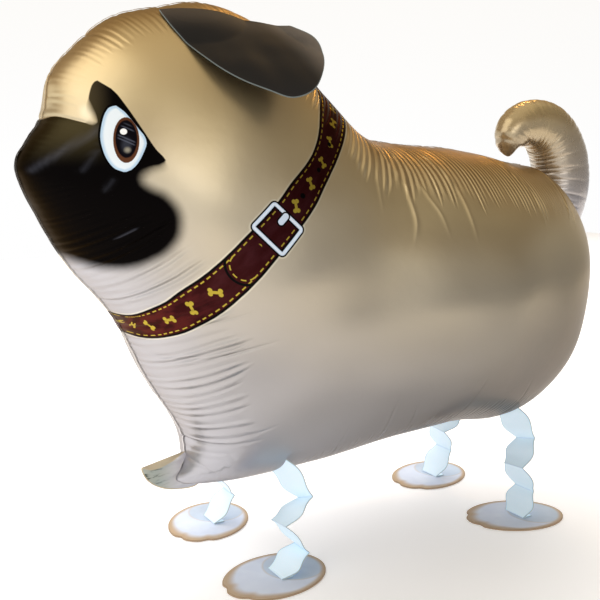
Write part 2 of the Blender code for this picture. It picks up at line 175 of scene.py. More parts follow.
# Along the weld: strength of the fine ribs, of the puckers, reach of the ribs, and their pitch
PUCKERS = {
    "thigh": (0.5, 0.7, 0.070, 0.0060),
    "belly_rear": (2.2, 0.8, 0.105, 0.0062),
    "belly": (2.4, 0.9, 0.115, 0.0062),
    "belly_front": (1.6, 0.5, 0.090, 0.0064),
    "brisket": (0.1, 0.15, 0.060, 0.0070),
    "chest_low": (0.1, 0.20, 0.050, 0.0074),
    "chest_fold": (0.2, 0.6, 0.050, 0.0076),
    "chest": (1.4, 1.0, 0.088, 0.0078),
    "throat_low": (1.2, 1.0, 0.118, 0.0078),
    "throat": (1.1, 1.0, 0.135, 0.0074),
    "chin": (1.5, 0.9, 0.120, 0.0070),
    "lip": (0.2, 0.3, 0.060, 0.0060),
    "nose": (0.1, 0.2, 0.050, 0.0060),
    "bridge": (0.2, 0.4, 0.050, 0.0060),
    "stop": (0.20, 1.0, 0.050, 0.0060),
    "brow": (0.22, 1.3, 0.050, 0.0060),
    "forehead": (0.25, 1.3, 0.055, 0.0062),
    "crown_front": (0.30, 1.3, 0.060, 0.0064),
    "crown": (0.40, 1.3, 0.065, 0.0064),
    "crown_back": (0.50, 1.2, 0.070, 0.0064),
    "poll": (0.8, 1.1, 0.080, 0.0060),
    "nape_top": (1.2, 0.9, 0.095, 0.0054),
    "nape": (1.6, 0.9, 0.125, 0.0052),
    "withers": (1.5, 0.9, 0.135, 0.0052),
    "back": (1.1, 0.8, 0.135, 0.0052),
    "loin": (1.0, 0.8, 0.130, 0.0052),
    "croup": (1.2, 0.9, 0.115, 0.0054),
    "rump_top": (1.2, 1.0, 0.095, 0.0056),
    "rump": (0.5, 0.8, 0.070, 0.0060),
    "rump_low": (0.3, 0.7, 0.060, 0.0060),
}
# Sizes of pucker: pitch along the weld, depth, half width as a share of the pitch, share of the reach
PUCKER_SIZES = (
    (0.0085, 0.00060, 0.22, 0.30),
    (0.0180, 0.00110, 0.14, 0.55),
    (0.0470, 0.00170, 0.09, 0.95),
)

# Printed outlines on each panel, along and up, in metres
MASK_OUTLINE = (
    (-0.3090, 0.4193), (-0.3061, 0.4211), (-0.3010, 0.4197), (-0.2943, 0.4169), (-0.2868, 0.4143),
    (-0.2815, 0.4145), (-0.2826, 0.4200), (-0.2846, 0.4255), (-0.2848, 0.4305), (-0.2838, 0.4360),
    (-0.2816, 0.4425), (-0.2797, 0.4461), (-0.2766, 0.4487), (-0.2726, 0.4452), (-0.2674, 0.4405),
    (-0.2616, 0.4298), (-0.2557, 0.4178), (-0.2495, 0.4053), (-0.2433, 0.3935), (-0.2367, 0.3842),
    (-0.2413, 0.3802), (-0.2462, 0.3788), (-0.2512, 0.3756), (-0.2543, 0.3708), (-0.2536, 0.3668),
    (-0.2470, 0.3616), (-0.2392, 0.3580), (-0.2322, 0.3508), (-0.2281, 0.3432), (-0.2268, 0.3346),
    (-0.2280, 0.3246), (-0.2324, 0.3160), (-0.2385, 0.3092), (-0.2483, 0.3025), (-0.2580, 0.2983),
    (-0.2682, 0.2970), (-0.2781, 0.2974), (-0.2862, 0.2996), (-0.2932, 0.3015), (-0.2990, 0.3040),
    (-0.3600, 0.3300), (-0.3600, 0.4193),
)
EYE_OUTLINE = (
    (-0.2702, 0.4284), (-0.2751, 0.4227), (-0.2789, 0.4118), (-0.2804, 0.4031), (-0.2800, 0.3960),
    (-0.2778, 0.3867), (-0.2736, 0.3794), (-0.2690, 0.3761), (-0.2656, 0.3755), (-0.2609, 0.3774),
    (-0.2558, 0.3834), (-0.2523, 0.3902), (-0.2494, 0.3982), (-0.2505, 0.4037), (-0.2539, 0.4092),
    (-0.2585, 0.4171), (-0.2630, 0.4240), (-0.2668, 0.4278),
)
COLLAR_UPPER = (
    (-0.0740, 0.4460), (-0.0863, 0.4267), (-0.0993, 0.4024), (-0.1113, 0.3870), (-0.1350, 0.3656),
    (-0.1466, 0.3527), (-0.1762, 0.3241), (-0.1934, 0.3063), (-0.2107, 0.2894), (-0.2235, 0.2782),
    (-0.2322, 0.2678), (-0.2391, 0.2617), (-0.2486, 0.2525), (-0.2541, 0.2508), (-0.2640, 0.2500),
)
COLLAR_LOWER = (
    (-0.0420, 0.4270), (-0.0516, 0.4183), (-0.0672, 0.4014), (-0.0799, 0.3873), (-0.1014, 0.3627),
    (-0.1128, 0.3470), (-0.1481, 0.3065), (-0.1633, 0.2886), (-0.1793, 0.2714), (-0.1933, 0.2577),
    (-0.2064, 0.2473), (-0.2151, 0.2406), (-0.2236, 0.2359), (-0.2315, 0.2321), (-0.2382, 0.2305),
    (-0.2421, 0.2310), (-0.2520, 0.2330),
)
COLLAR_HALF_WIDTH = 0.0142
BUCKLE_PLACE = (-0.1472, 0.3275)

# Creases that run further over each panel: rise, half width, places along and up.
# A rise below 0 makes a sharp valley, and one above 0 a round ridge.
CREASES = (
    (-0.0014, 0.0018, (
        (-0.3190, 0.4160), (-0.3061, 0.4211), (-0.3010, 0.4197), (-0.2943, 0.4169), (-0.2789, 0.4118),
    )),
    (-0.0013, 0.0016, (
        (-0.2480, 0.2240), (-0.2363, 0.2202), (-0.2270, 0.2163), (-0.1965, 0.2176), (-0.1663, 0.2269),
        (-0.1370, 0.2350),
    )),
    (-0.0006, 0.0014, (
        (-0.2420, 0.2370), (-0.2221, 0.2406), (-0.2048, 0.2477), (-0.1815, 0.2550), (-0.1560, 0.2640),
    )),
    (-0.0008, 0.0014, (
        (-0.2300, 0.1700), (-0.2161, 0.1694), (-0.2123, 0.1684), (-0.1946, 0.1722), (-0.1860, 0.1745),
    )),
    (-0.0009, 0.0015, (
        (-0.2230, 0.1570), (-0.2109, 0.1589), (-0.2063, 0.1620), (-0.1937, 0.1685), (-0.1850, 0.1730),
    )),
    (-0.0007, 0.0014, (
        (-0.2150, 0.1390), (-0.2030, 0.1415), (-0.1976, 0.1447), (-0.1860, 0.1500),
    )),
    (-0.0010, 0.0016, (
        (-0.2020, 0.1210), (-0.1946, 0.1235), (-0.1815, 0.1265), (-0.1606, 0.1303), (-0.1350, 0.1380),
    )),
    (-0.0007, 0.0015, (
        (-0.1800, 0.1300), (-0.1710, 0.1330), (-0.1475, 0.1429), (-0.1321, 0.1507), (-0.1260, 0.1540),
    )),
    (-0.0011, 0.0017, (
        (-0.2020, 0.1160), (-0.1942, 0.1116), (-0.1818, 0.1037), (-0.1664, 0.0935), (-0.1560, 0.0890),
    )),
    (-0.0009, 0.0015, (
        (-0.2750, 0.2600), (-0.2632, 0.2641), (-0.2454, 0.2668), (-0.2257, 0.2751), (-0.2050, 0.2900),
    )),
    (-0.0006, 0.0014, (
        (-0.2830, 0.2690), (-0.2715, 0.2727), (-0.2547, 0.2747), (-0.2336, 0.2852), (-0.2160, 0.3000),
    )),
    (-0.0006, 0.0015, (
        (-0.2880, 0.2880), (-0.2761, 0.2895), (-0.2573, 0.2883), (-0.2437, 0.2961), (-0.2300, 0.3130),
    )),
    (0.0009, 0.0019, (
        (-0.0240, 0.4080), (-0.0169, 0.3813), (-0.0094, 0.3652), (-0.0090, 0.3485), (-0.0088, 0.3305),
        (-0.0180, 0.3060),
    )),
    (0.0006, 0.0017, (
        (0.0000, 0.4020), (0.0027, 0.3889), (0.0099, 0.3561), (0.0182, 0.3371), (0.0217, 0.3100),
    )),
    (0.0008, 0.0018, (
        (0.0390, 0.3980), (0.0437, 0.3778), (0.0480, 0.3554), (0.0494, 0.3364), (0.0496, 0.3050),
    )),
    (0.0006, 0.0017, (
        (0.1380, 0.4000), (0.1443, 0.3813), (0.1539, 0.3556), (0.1517, 0.3372), (0.1474, 0.3130),
    )),
    (0.0007, 0.0018, (
        (0.2330, 0.3900), (0.2263, 0.3669), (0.2187, 0.3429), (0.1995, 0.3190),
    )),
    (0.0005, 0.0016, (
        (-0.0200, 0.4100), (-0.0266, 0.3978), (-0.0383, 0.3680), (-0.0408, 0.3350),
    )),
    (-0.0007, 0.0016, (
        (-0.0080, 0.0950), (-0.0118, 0.1229), (-0.0167, 0.1496), (-0.0190, 0.1780),
    )),
    (-0.0005, 0.0015, (
        (0.0220, 0.0990), (0.0148, 0.1232), (0.0014, 0.1720),
    )),
    (-0.0007, 0.0016, (
        (0.0640, 0.1150), (0.0665, 0.1452), (0.0695, 0.1900),
    )),
    (-0.0007, 0.0017, (
        (0.1560, 0.1050), (0.1522, 0.1320), (0.1420, 0.1720),
    )),
    (-0.0005, 0.0015, (
        (-0.0590, 0.0930), (-0.0585, 0.1102), (-0.0580, 0.1500),
    )),
    (-0.0006, 0.0015, (
        (-0.2740, 0.3190), (-0.2681, 0.3232), (-0.2575, 0.3303), (-0.2500, 0.3340),
    )),
)

# Faint reflections in the black of the mask: brightness, half width, places along and up
MASK_STREAKS = (
    (0.12, 0.0024, (
        (-0.2790, 0.4100), (-0.2811, 0.4086), (-0.3000, 0.3961), (-0.3194, 0.3811), (-0.3240, 0.3770),
    )),
    (0.07, 0.0018, ((-0.2804, 0.3960), (-0.2932, 0.3769))),
    (0.06, 0.0016, ((-0.2737, 0.3691), (-0.2792, 0.3613))),
    (0.20, 0.0006, ((-0.2681, 0.3232), (-0.2575, 0.3303))),
)

# Height of the underside and of the top, for the printed fade: places along, and heights there
FADE_LOW = ((-0.33, -0.29, -0.25, -0.20, -0.12, 0.10, 0.30), (0.36, 0.30, 0.23, 0.13, 0.09, 0.09, 0.10))
FADE_HIGH = ((-0.33, -0.29, -0.22, -0.12, -0.04, 0.05, 0.30), (0.43, 0.49, 0.52, 0.50, 0.43, 0.41, 0.385))

# Heights where the film of the tail changes colour
TAIL_FADE = (
    (0.29, (0.46, 0.45, 0.50)),
    (0.35, (0.44, 0.41, 0.40)),
    (0.41, (0.46, 0.37, 0.24)),
    (0.45, (0.62, 0.46, 0.22)),
)

# The envelope's mesh: stations along the weld, rings of the band beside it, and places inside that
STATIONS = 1800
BAND_RINGS = 14
BAND_DEPTH = 0.046
NORMAL_SPREAD = 0.028
INNER_SPACING = ((0.006, 0.0018), (0.018, 0.0028), (1.0, 0.0044))
CREASE_OFFSETS = (0.0, -0.45, 0.45, -1.0, 1.0, -1.8, 1.8, -3.0, 3.0)
CREASE_STEP = 0.0017
CREASE_GAP = 0.0006
LOOP_GAP = 0.0009
PLACE_GAP = 0.62
# Broad waves of the film, and the weld's wander out of its plane
FILM_WAVES = 14
WAVE_HEIGHT = 0.00022
SEAM_SWAY = 0.0008
# Film of the filling neck, and the margin outside the weld with its lap on the body
NECK_SPACING = 0.0016
NECK_THICKNESS = 0.0006
MARGIN_WIDTH = 0.0026
MARGIN_THICKNESS = 0.00035
MARGIN_LAP = 0.0004
# Waves of the ear, their height, and its stand-off from the head
EAR_WAVES = 9
EAR_WAVE_HEIGHT = 0.0004
EAR_STAND_OFF = 0.0004
# How far a leg's panels bow beyond its solid and swell along it, and what joins its two faces
LEG_BOW = 0.004
LEG_SWELL = 0.07
MERGE_GAP = 0.00005
# Points of the blown-up shape's field, and how far outside the weld its sources stand, in shares
FIELD_POINTS = 240
FIELD_SOURCES = 120
SOURCE_DISTANCE = 0.063
FIELD_SMOOTHING = 1e-6

SEED = 7
SIDES = {-1: "left", 1: "right"}

# Viewpoint of the photograph, in metres, and its lens in millimetres
CAMERA_PLACE = (-0.5024, -0.7806, 0.3793)
CAMERA_AIM = (0.49031, 0.85925, -0.14588)
CAMERA_LENS = 54.04
CAMERA_SENSOR = 36.0


# Curves

def knot_span(before, start, end, after, step):
    """One span of a curve through four knots, whose speed follows the root of their spacing."""
    gaps = []
    for near, far in ((before, start), (start, end), (end, after)):
        gaps.append(max(math.dist(near[:2], far[:2]), 1e-6) ** 0.5)
    left, middle, right = gaps
    leave = end - start + middle * ((start - before) / left - (end - before) / (left + middle))
    arrive = end - start + middle * ((after - end) / right - (after - start) / (middle + right))
    square, cube = step ** 2, step ** 3
    value = (2 * cube - 3 * square + 1) * start + (cube - 2 * square + step) * leave
    return value + (3 * square - 2 * cube) * end + (cube - square) * arrive


def runs(path):
    """Distance along a polyline up to each of its points."""
    return np.concatenate([[0], np.cumsum(np.linalg.norm(np.diff(path, axis=0), axis=1))])


def unit(vectors):
    return vectors / np.linalg.norm(vectors, axis=1)[:, None]


def right_of(way):
    """Directions a quarter turn to the right of the given flat ones."""
    return np.stack([way[:, 1], -way[:, 0]], -1)


def even_steps(curve, count):
    run = runs(curve[:, :2])
    at = np.linspace(0, run[-1], count)
    return np.stack([np.interp(at, run, column) for column in curve.T], -1)


def smooth_loop(points, count):
    """Even points along a smooth closed curve through the given ones."""
    points = np.asarray(points, float)
    step = np.linspace(0, 1, 24, endpoint=False)[:, None]
    pieces = []
    for i in range(len(points)):
        before, start = points[i - 1], points[i]
        end, after = points[(i + 1) % len(points)], points[(i + 2) % len(points)]
        pieces.append(knot_span(before, start, end, after, step))
    dense = np.concatenate(pieces)
    return even_steps(np.vstack([dense, dense[:1]]), count + 1)[:-1]


def smooth_path(points, count):
    """Even points along a smooth open curve through the given ones."""
    points = np.asarray(points, float)
    padded = np.vstack([2 * points[0] - points[1], points, 2 * points[-1] - points[-2]])
    step = np.linspace(0, 1, 24, endpoint=False)[:, None]
    pieces = [knot_span(*padded[i:i + 4], step) for i in range(len(points) - 1)]
    return even_steps(np.vstack(pieces + [points[-1:]]), count)


def smoothstep(value, low, high):
    share = np.clip((value - low) / (high - low), 0, 1)
    return share * share * (3 - 2 * share)


def smear(values, spread, loop_step):
    """A blur along a closed loop of evenly spaced values."""
    reach = int(3 * spread / loop_step)
    offsets = np.arange(-reach, reach + 1)
    weights = np.exp(-0.5 * (offsets * loop_step / spread) ** 2)
    weights /= weights.sum()
    total = np.zeros_like(values)
    for offset, weight in zip(offsets, weights):
        total += np.roll(values, offset, axis=0) * weight
    return total


def nearest_on(path, places):
    """Distance to a polyline, and the run and side of the nearest place on it."""
    start, way = path[:-1], np.diff(path, axis=0)
    length = np.linalg.norm(way, axis=1)
    run = runs(path)
    best = np.full(len(places), 1e9)
    at = np.zeros(len(places))
    side = np.zeros(len(places))
    for i in range(len(start)):
        offset = places - start[i]
        share = np.clip(offset @ way[i] / length[i] ** 2, 0, 1)
        gap = offset - share[:, None] * way[i]
        distance = np.linalg.norm(gap, axis=1)
        closer = distance < best
        best[closer] = distance[closer]
        at[closer] = run[i] + share[closer] * length[i]
        turn = way[i, 0] * gap[:, 1] - way[i, 1] * gap[:, 0]
        side[closer] = np.sign(turn[closer])
    return best, at, side


def depth_inside(outline, places):
    """Distance to a closed outline, positive inside it."""
    loop = np.vstack([outline, outline[:1]])
    distance, _, _ = nearest_on(loop, places)
    inside = np.zeros(len(places), bool)
    for (x0, z0), (x1, z1) in zip(loop[:-1], loop[1:]):
        spans = (z0 > places[:, 1]) != (z1 > places[:, 1])
        with np.errstate(divide="ignore", invalid="ignore"):
            crossing = x0 + (places[:, 1] - z0) * (x1 - x0) / (z1 - z0)
        inside ^= spans & (places[:, 0] < crossing)
    return np.where(inside, distance, -distance)


# The blown-up envelope

class Inflation:
    """The envelope as a level surface: y squared equals the spread of a field over the weld outline.

    The field's Laplacian is -1 inside the weld and it is 0 on it. It is a sum of point sources.
    """

    def __init__(self, outline):
        edge = smooth_loop(outline, FIELD_POINTS)
        turn = np.sum(edge[:, 0] * np.roll(edge[:, 1], -1) - np.roll(edge[:, 0], -1) * edge[:, 1])
        if turn < 0:
            edge = edge[::-1]
        outward = right_of(unit(np.roll(edge, -1, 0) - np.roll(edge, 1, 0)))
        picked = np.linspace(0, len(edge), FIELD_SOURCES, endpoint=False).astype(int)
        self.sources = edge[picked] + outward[picked] * SOURCE_DISTANCE
        self.centre = edge.mean(0)
        offset = edge[:, None, :] - self.sources[None]
        rows = np.hstack([0.5 * np.log((offset ** 2).sum(-1)), np.ones((len(edge), 1))])
        target = ((edge - self.centre) ** 2).sum(1) / 4
        rows = np.vstack([rows, FIELD_SMOOTHING * np.eye(rows.shape[1])])
        target = np.concatenate([target, np.zeros(rows.shape[1])])
        self.strengths = np.linalg.lstsq(rows, target, rcond=None)[0]

    def spread(self, places):
        """The squared half width over places in shares, and its slope."""
        value = np.empty(len(places))
        slope = np.empty((len(places), 2))
        for first in range(0, len(places), 8000):
            part = slice(first, first + 8000)
            offset = places[part, None, :] - self.sources[None]
            square = (offset ** 2).sum(-1)
            value[part] = 0.5 * np.log(square) @ self.strengths[:-1]
            slope[part] = np.einsum("ij,ijk->ik", self.strengths[:-1] / square, offset)
        from_centre = places - self.centre
        field = value + self.strengths[-1] - (from_centre ** 2).sum(1) / 4
        slope -= from_centre / 2
        factor, factor_slope = fullness(places[:, 0])
        total = 2 * factor ** 2 * field
        total_slope = 2 * factor[:, None] ** 2 * slope
        total_slope[:, 0] += 4 * factor * factor_slope * field
        return total, total_slope


def fullness(along):
    """The fullness factor and its slope, eased between its knots."""
    factor = np.full(len(along), FULLNESS[0][1])
    slope = np.zeros(len(along))
    for (start, low), (end, high) in zip(FULLNESS, FULLNESS[1:]):
        share = np.clip((along - start) / (end - start), 0, 1)
        factor += (high - low) * share * share * (3 - 2 * share)
        slope += (high - low) * 6 * share * (1 - share) / (end - start)
    return factor, slope


film = Inflation([row[1:] for row in WELD_LINE])
weld_shares = smooth_loop([row[1:] for row in WELD_LINE], 4000)
body_low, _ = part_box("foil_body")
MIDDLE = weld_shares[:, 0].min() - body_low.x / BODY_LENGTH


def to_metres(shares):
    """Places along and up in metres, from shares of the body length."""
    shares = np.asarray(shares, float)
    along = (shares[..., 0] - MIDDLE) * BODY_LENGTH
    return np.stack([along, BELLY_HEIGHT + shares[..., 1] * BODY_LENGTH], -1)


def to_shares(places):
    along = places[..., 0] / BODY_LENGTH + MIDDLE
    return np.stack([along, (places[..., 1] - BELLY_HEIGHT) / BODY_LENGTH], -1)


def foot_centre(row, side):
    return np.array([(LEG_STATIONS[row] - MIDDLE) * BODY_LENGTH, side * LEG_SPREAD * BODY_LENGTH])


def on_panel(places, side):
    """Points on the blown-up panel over places in metres, and the outward normals there."""
    square, slope = film.spread(to_shares(places))
    out = side * np.sqrt(np.maximum(square, 0)) * BODY_LENGTH
    normal = unit(np.stack([-slope[:, 0] / 2, out / BODY_LENGTH, -slope[:, 1] / 2], -1))
    return np.stack([places[:, 0], out, places[:, 1]], -1), normal


def clearance(points):
    """Distance of points outside the envelope, negative inside it, and the way out."""
    square, slope = film.spread(to_shares(points[:, [0, 2]]))
    out = points[:, 1] / BODY_LENGTH
    normal = np.stack([-slope[:, 0], 2 * out, -slope[:, 1]], -1)
    steepness = np.linalg.norm(normal, axis=1)
    return (out ** 2 - square) / steepness * BODY_LENGTH, normal / steepness[:, None]


def lay_on_body(points, gap):
    """Points that are nearer to the envelope than the gap, or inside it, moved out to the gap."""
    points = np.array(points, float)
    for _ in range(6):
        distance, normal = clearance(points)
        move = np.clip(gap - distance, 0, 0.006)
        points += normal * move[:, None]
    return points


def weld_frame():
    """Even stations along the weld, with outward normals that turn gently, and the band's depth."""
    edge = to_metres(smooth_loop([row[1:] for row in WELD_LINE], STATIONS))
    step = np.linalg.norm(np.roll(edge, -1, 0) - edge, axis=1).mean()
    outward = right_of(unit(np.roll(edge, -1, 0) - np.roll(edge, 1, 0)))
    if ((edge - edge.mean(0)) * outward).sum() < 0:
        outward = -outward
    calm = unit(smear(outward, NORMAL_SPREAD, step))
    # Neighbouring lines into the panel meet at this depth, where they run together at all
    way = np.roll(edge, -1, 0) - edge
    turn = np.roll(calm, -1, 0) - calm
    turning = turn[:, 0] * calm[:, 1] - turn[:, 1] * calm[:, 0]
    meet = (way[:, 0] * calm[:, 1] - way[:, 1] * calm[:, 0]) / np.where(turning == 0, 1e-12, turning)
    limit = np.where(meet > 0, np.minimum(BAND_DEPTH, 0.5 * meet), BAND_DEPTH)
    reach = int(0.024 / step)
    lowest = np.min([np.roll(limit, shift) for shift in range(-reach, reach + 1)], axis=0)
    return edge, calm, smear(lowest, 0.008, step), step


def closest(places, targets):
    """Index of, and distance to, the nearest target of each place."""
    index = np.empty(len(places), int)
    distance = np.empty(len(places))
    for first in range(0, len(places), 2000):
        part = slice(first, first + 2000)
        square = ((places[part, None, :] - targets[None]) ** 2).sum(-1)
        index[part] = square.argmin(1)
        distance[part] = np.sqrt(square.min(1))
    return index, distance


def thinned(places, gaps):
    """The places that are no nearer than their gap to an earlier one."""
    cell = gaps.max()
    around = [(i, j) for i in (-1, 0, 1) for j in (-1, 0, 1)]
    taken = {}
    kept = []
    for place, gap in zip(places, gaps):
        column, row = int(place[0] // cell), int(place[1] // cell)
        near = [other for i, j in around for other in taken.get((column + i, row + j), ())]
        if all(math.dist(place, other) >= gap for other in near):
            taken.setdefault((column, row), []).append(tuple(place))
            kept.append(place)
    return np.array(kept)


def crease_places():
    """Rows of places along each crease, close together across it."""
    rows = []
    for _, width, path in CREASES:
        line = smooth_path(path, int(runs(np.array(path))[-1] / CREASE_STEP))
        across = -right_of(unit(np.gradient(line, axis=0)))
        for offset in CREASE_OFFSETS:
            rows.append(line + across * offset * width)
    return np.concatenate(rows)


def inner_places(loop, outward):
    """Places inside a loop: along the creases, and staggered ones that are closer near the loop."""
    low, high = loop.min(0), loop.max(0)
    found = [crease_places()]
    gaps = [np.full(len(found[0]), CREASE_GAP)]
    limits = [np.full(len(found[0]), 1.0)]
    for outer, spacing in INNER_SPACING:
        rows = np.arange(low[1], high[1], spacing * math.sqrt(0.75))
        for number, z in enumerate(rows):
            xs = np.arange(low[0], high[0], spacing) + (number % 2) * spacing / 2
            found.append(np.stack([xs, np.full_like(xs, z)], -1))
            gaps.append(np.full(len(xs), PLACE_GAP * spacing))
            limits.append(np.full(len(xs), outer))
    places, gaps, limits = np.concatenate(found), np.concatenate(gaps), np.concatenate(limits)
    index, distance = closest(places, loop)
    inside = ((places - loop[index]) * outward[index]).sum(1) < 0
    lower = dict(zip([row[0] for row in INNER_SPACING], [0.0] + [row[0] for row in INNER_SPACING]))
    starts = np.array([lower[limit] for limit in limits])
    starts[:len(found[0])] = 0.0
    chosen = inside & (distance > np.maximum(starts, LOOP_GAP)) & (distance <= limits)
    return thinned(places[chosen], gaps[chosen])


def along_weld(edge):
    """Station number of each named point of the weld."""
    named = to_metres([row[1:] for row in WELD_LINE])
    index, _ = closest(named, edge)
    return {row[0]: int(number) for row, number in zip(WELD_LINE, index)}


class Folds:
    """Ribs and puckers that run in from the weld, and longer creases across each panel."""

    def __init__(self, edge, step):
        self.perimeter = len(edge) * step
        where = along_weld(edge)
        names = sorted(PUCKERS, key=where.get)
        self.knots = np.array([where[name] * step for name in names])
        self.table = np.array([PUCKERS[name] for name in names])
        self.rib_run = np.linspace(0, self.perimeter, 4000)
        _, _, _, pitch = self.local(self.rib_run)
        count = np.cumsum(1 / pitch) * (self.rib_run[1] - self.rib_run[0])
        self.rib_count = count - count[0]
        rng = np.random.default_rng(SEED)
        self.folds = []
        for pitch, depth, width, share in PUCKER_SIZES:
            count = int(self.perimeter / pitch)
            for number in range(count):
                at = (number + 0.5 + rng.uniform(-0.36, 0.36)) * self.perimeter / count
                size = rng.uniform(0.35, 1.25)
                lengths = share * rng.uniform(0.55, 1.2, 2)
                lean = rng.normal(0, 0.06, 2)
                self.folds.append((at, depth * size, width * pitch * rng.uniform(0.8, 1.2), lengths, lean))
        self.waves = []
        for _ in range(FILM_WAVES):
            angle = rng.uniform(0, 2 * math.pi)
            length = rng.uniform(0.045, 0.12)
            phase = rng.uniform(0, 2 * math.pi, 2)
            self.waves.append((math.cos(angle) / length, math.sin(angle) / length, phase, length))

    def local(self, at):
        """Rib strength, pucker strength, reach and pitch at runs along the weld."""
        return [np.interp(at, self.knots, column, period=self.perimeter) for column in self.table.T]

    def film_place(self, at, distance, hand):
        """Number of the rib, share of its reach, and its strength. The sides get their own numbers."""
        strength, _, reach, _ = self.local(at)
        number = np.interp(at, self.rib_run, self.rib_count) + 700 * hand
        from_start = np.minimum(at, self.perimeter - at)
        strength = strength * smoothstep(from_start, 0.002, 0.02)
        return np.stack([number, distance / reach, strength], -1)

    def rise(self, at, distance, places, side):
        """How far the film stands in or out, at a run along the weld and a distance from it."""
        total = np.zeros(len(at))
        hand = 0 if side < 0 else 1
        for centre, depth, width, lengths, lean in self.folds:
            _, strength, reach, _ = self.local(centre)
            length = reach * lengths[hand]
            offset = at - centre - lean[hand] * distance
            offset = (offset + self.perimeter / 2) % self.perimeter - self.perimeter / 2
            near = (np.abs(offset) < 0.02 + 6 * width) & (distance < length)
            share = distance[near] / length
            wide = width * (1 + 1.8 * share)
            fade = (1 - share) ** 1.3 * (0.55 + 0.45 * smoothstep(distance[near], 0, 0.007))
            away = np.abs(offset[near]) / wide
            profile = np.exp(-away) - 0.25 * np.exp(-((away / 2.5) ** 2))
            total[near] -= strength * depth * fade * profile
        for rise, width, path in CREASES:
            line = smooth_path(path, 80)
            gap, run, _ = nearest_on(line, places)
            length = runs(line)[-1]
            fade = smoothstep(run, 0, 0.22 * length) * smoothstep(length - run, 0, 0.40 * length)
            if rise < 0:
                profile = np.exp(-gap / width) - 0.45 * np.exp(-((gap / width / 2.6) ** 2))
            else:
                profile = np.exp(-((gap / width) ** 2)) - 0.25 * np.exp(-((gap / width / 2.6) ** 2))
            total += 1.5 * rise * fade * profile
        calm = smoothstep(distance, 0, 0.05)
        for along, up, phase, length in self.waves:
            wave = np.sin(2 * math.pi * (places[:, 0] * along + places[:, 1] * up) + phase[hand])
            total += calm * WAVE_HEIGHT * wave * length / 0.08
        return total


def triangulated(places, count):
    """Triangles over flat places, of which the first ones, up to the count, go round the others."""
    corners = [Vector(place) for place in places]
    made = delaunay_2d_cdt(corners, [], [list(range(count))], 1, 1e-7, True)
    source = np.array([ids[0] if ids else -1 for ids in made[3]])
    return source[np.array(made[2])]


def blown_panel(side, places, index, run, inner_run, folds):
    """Points and normals of one panel's places, their runs along the weld and distances from it."""
    points, normals = on_panel(places, side)
    band_count = STATIONS * (BAND_RINGS + 1)
    rings = points[:band_count].reshape(BAND_RINGS + 1, STATIONS, 3)
    distance = np.concatenate([
        np.zeros((1, STATIONS)),
        np.cumsum(np.linalg.norm(np.diff(rings, axis=0), axis=2), axis=0),
    ])
    reach = np.linalg.norm(points[band_count:] - rings[-1][index], axis=1)
    at = np.concatenate([np.tile(run, BAND_RINGS + 1), inner_run])
    away = np.concatenate([distance.ravel(), distance[-1][index] + reach])
    points += normals * folds.rise(at, away, places, side)[:, None]
    return points, normals, at, away


def band_quads():
    """Faces between neighbouring rings of the band along the weld."""
    corners = np.arange(STATIONS)
    following = np.roll(corners, -1)
    quads = []
    for ring in range(BAND_RINGS):
        low, high = ring * STATIONS, (ring + 1) * STATIONS
        quads.append(np.stack([low + corners, low + following, high + following, high + corners], -1))
    return np.concatenate(quads)


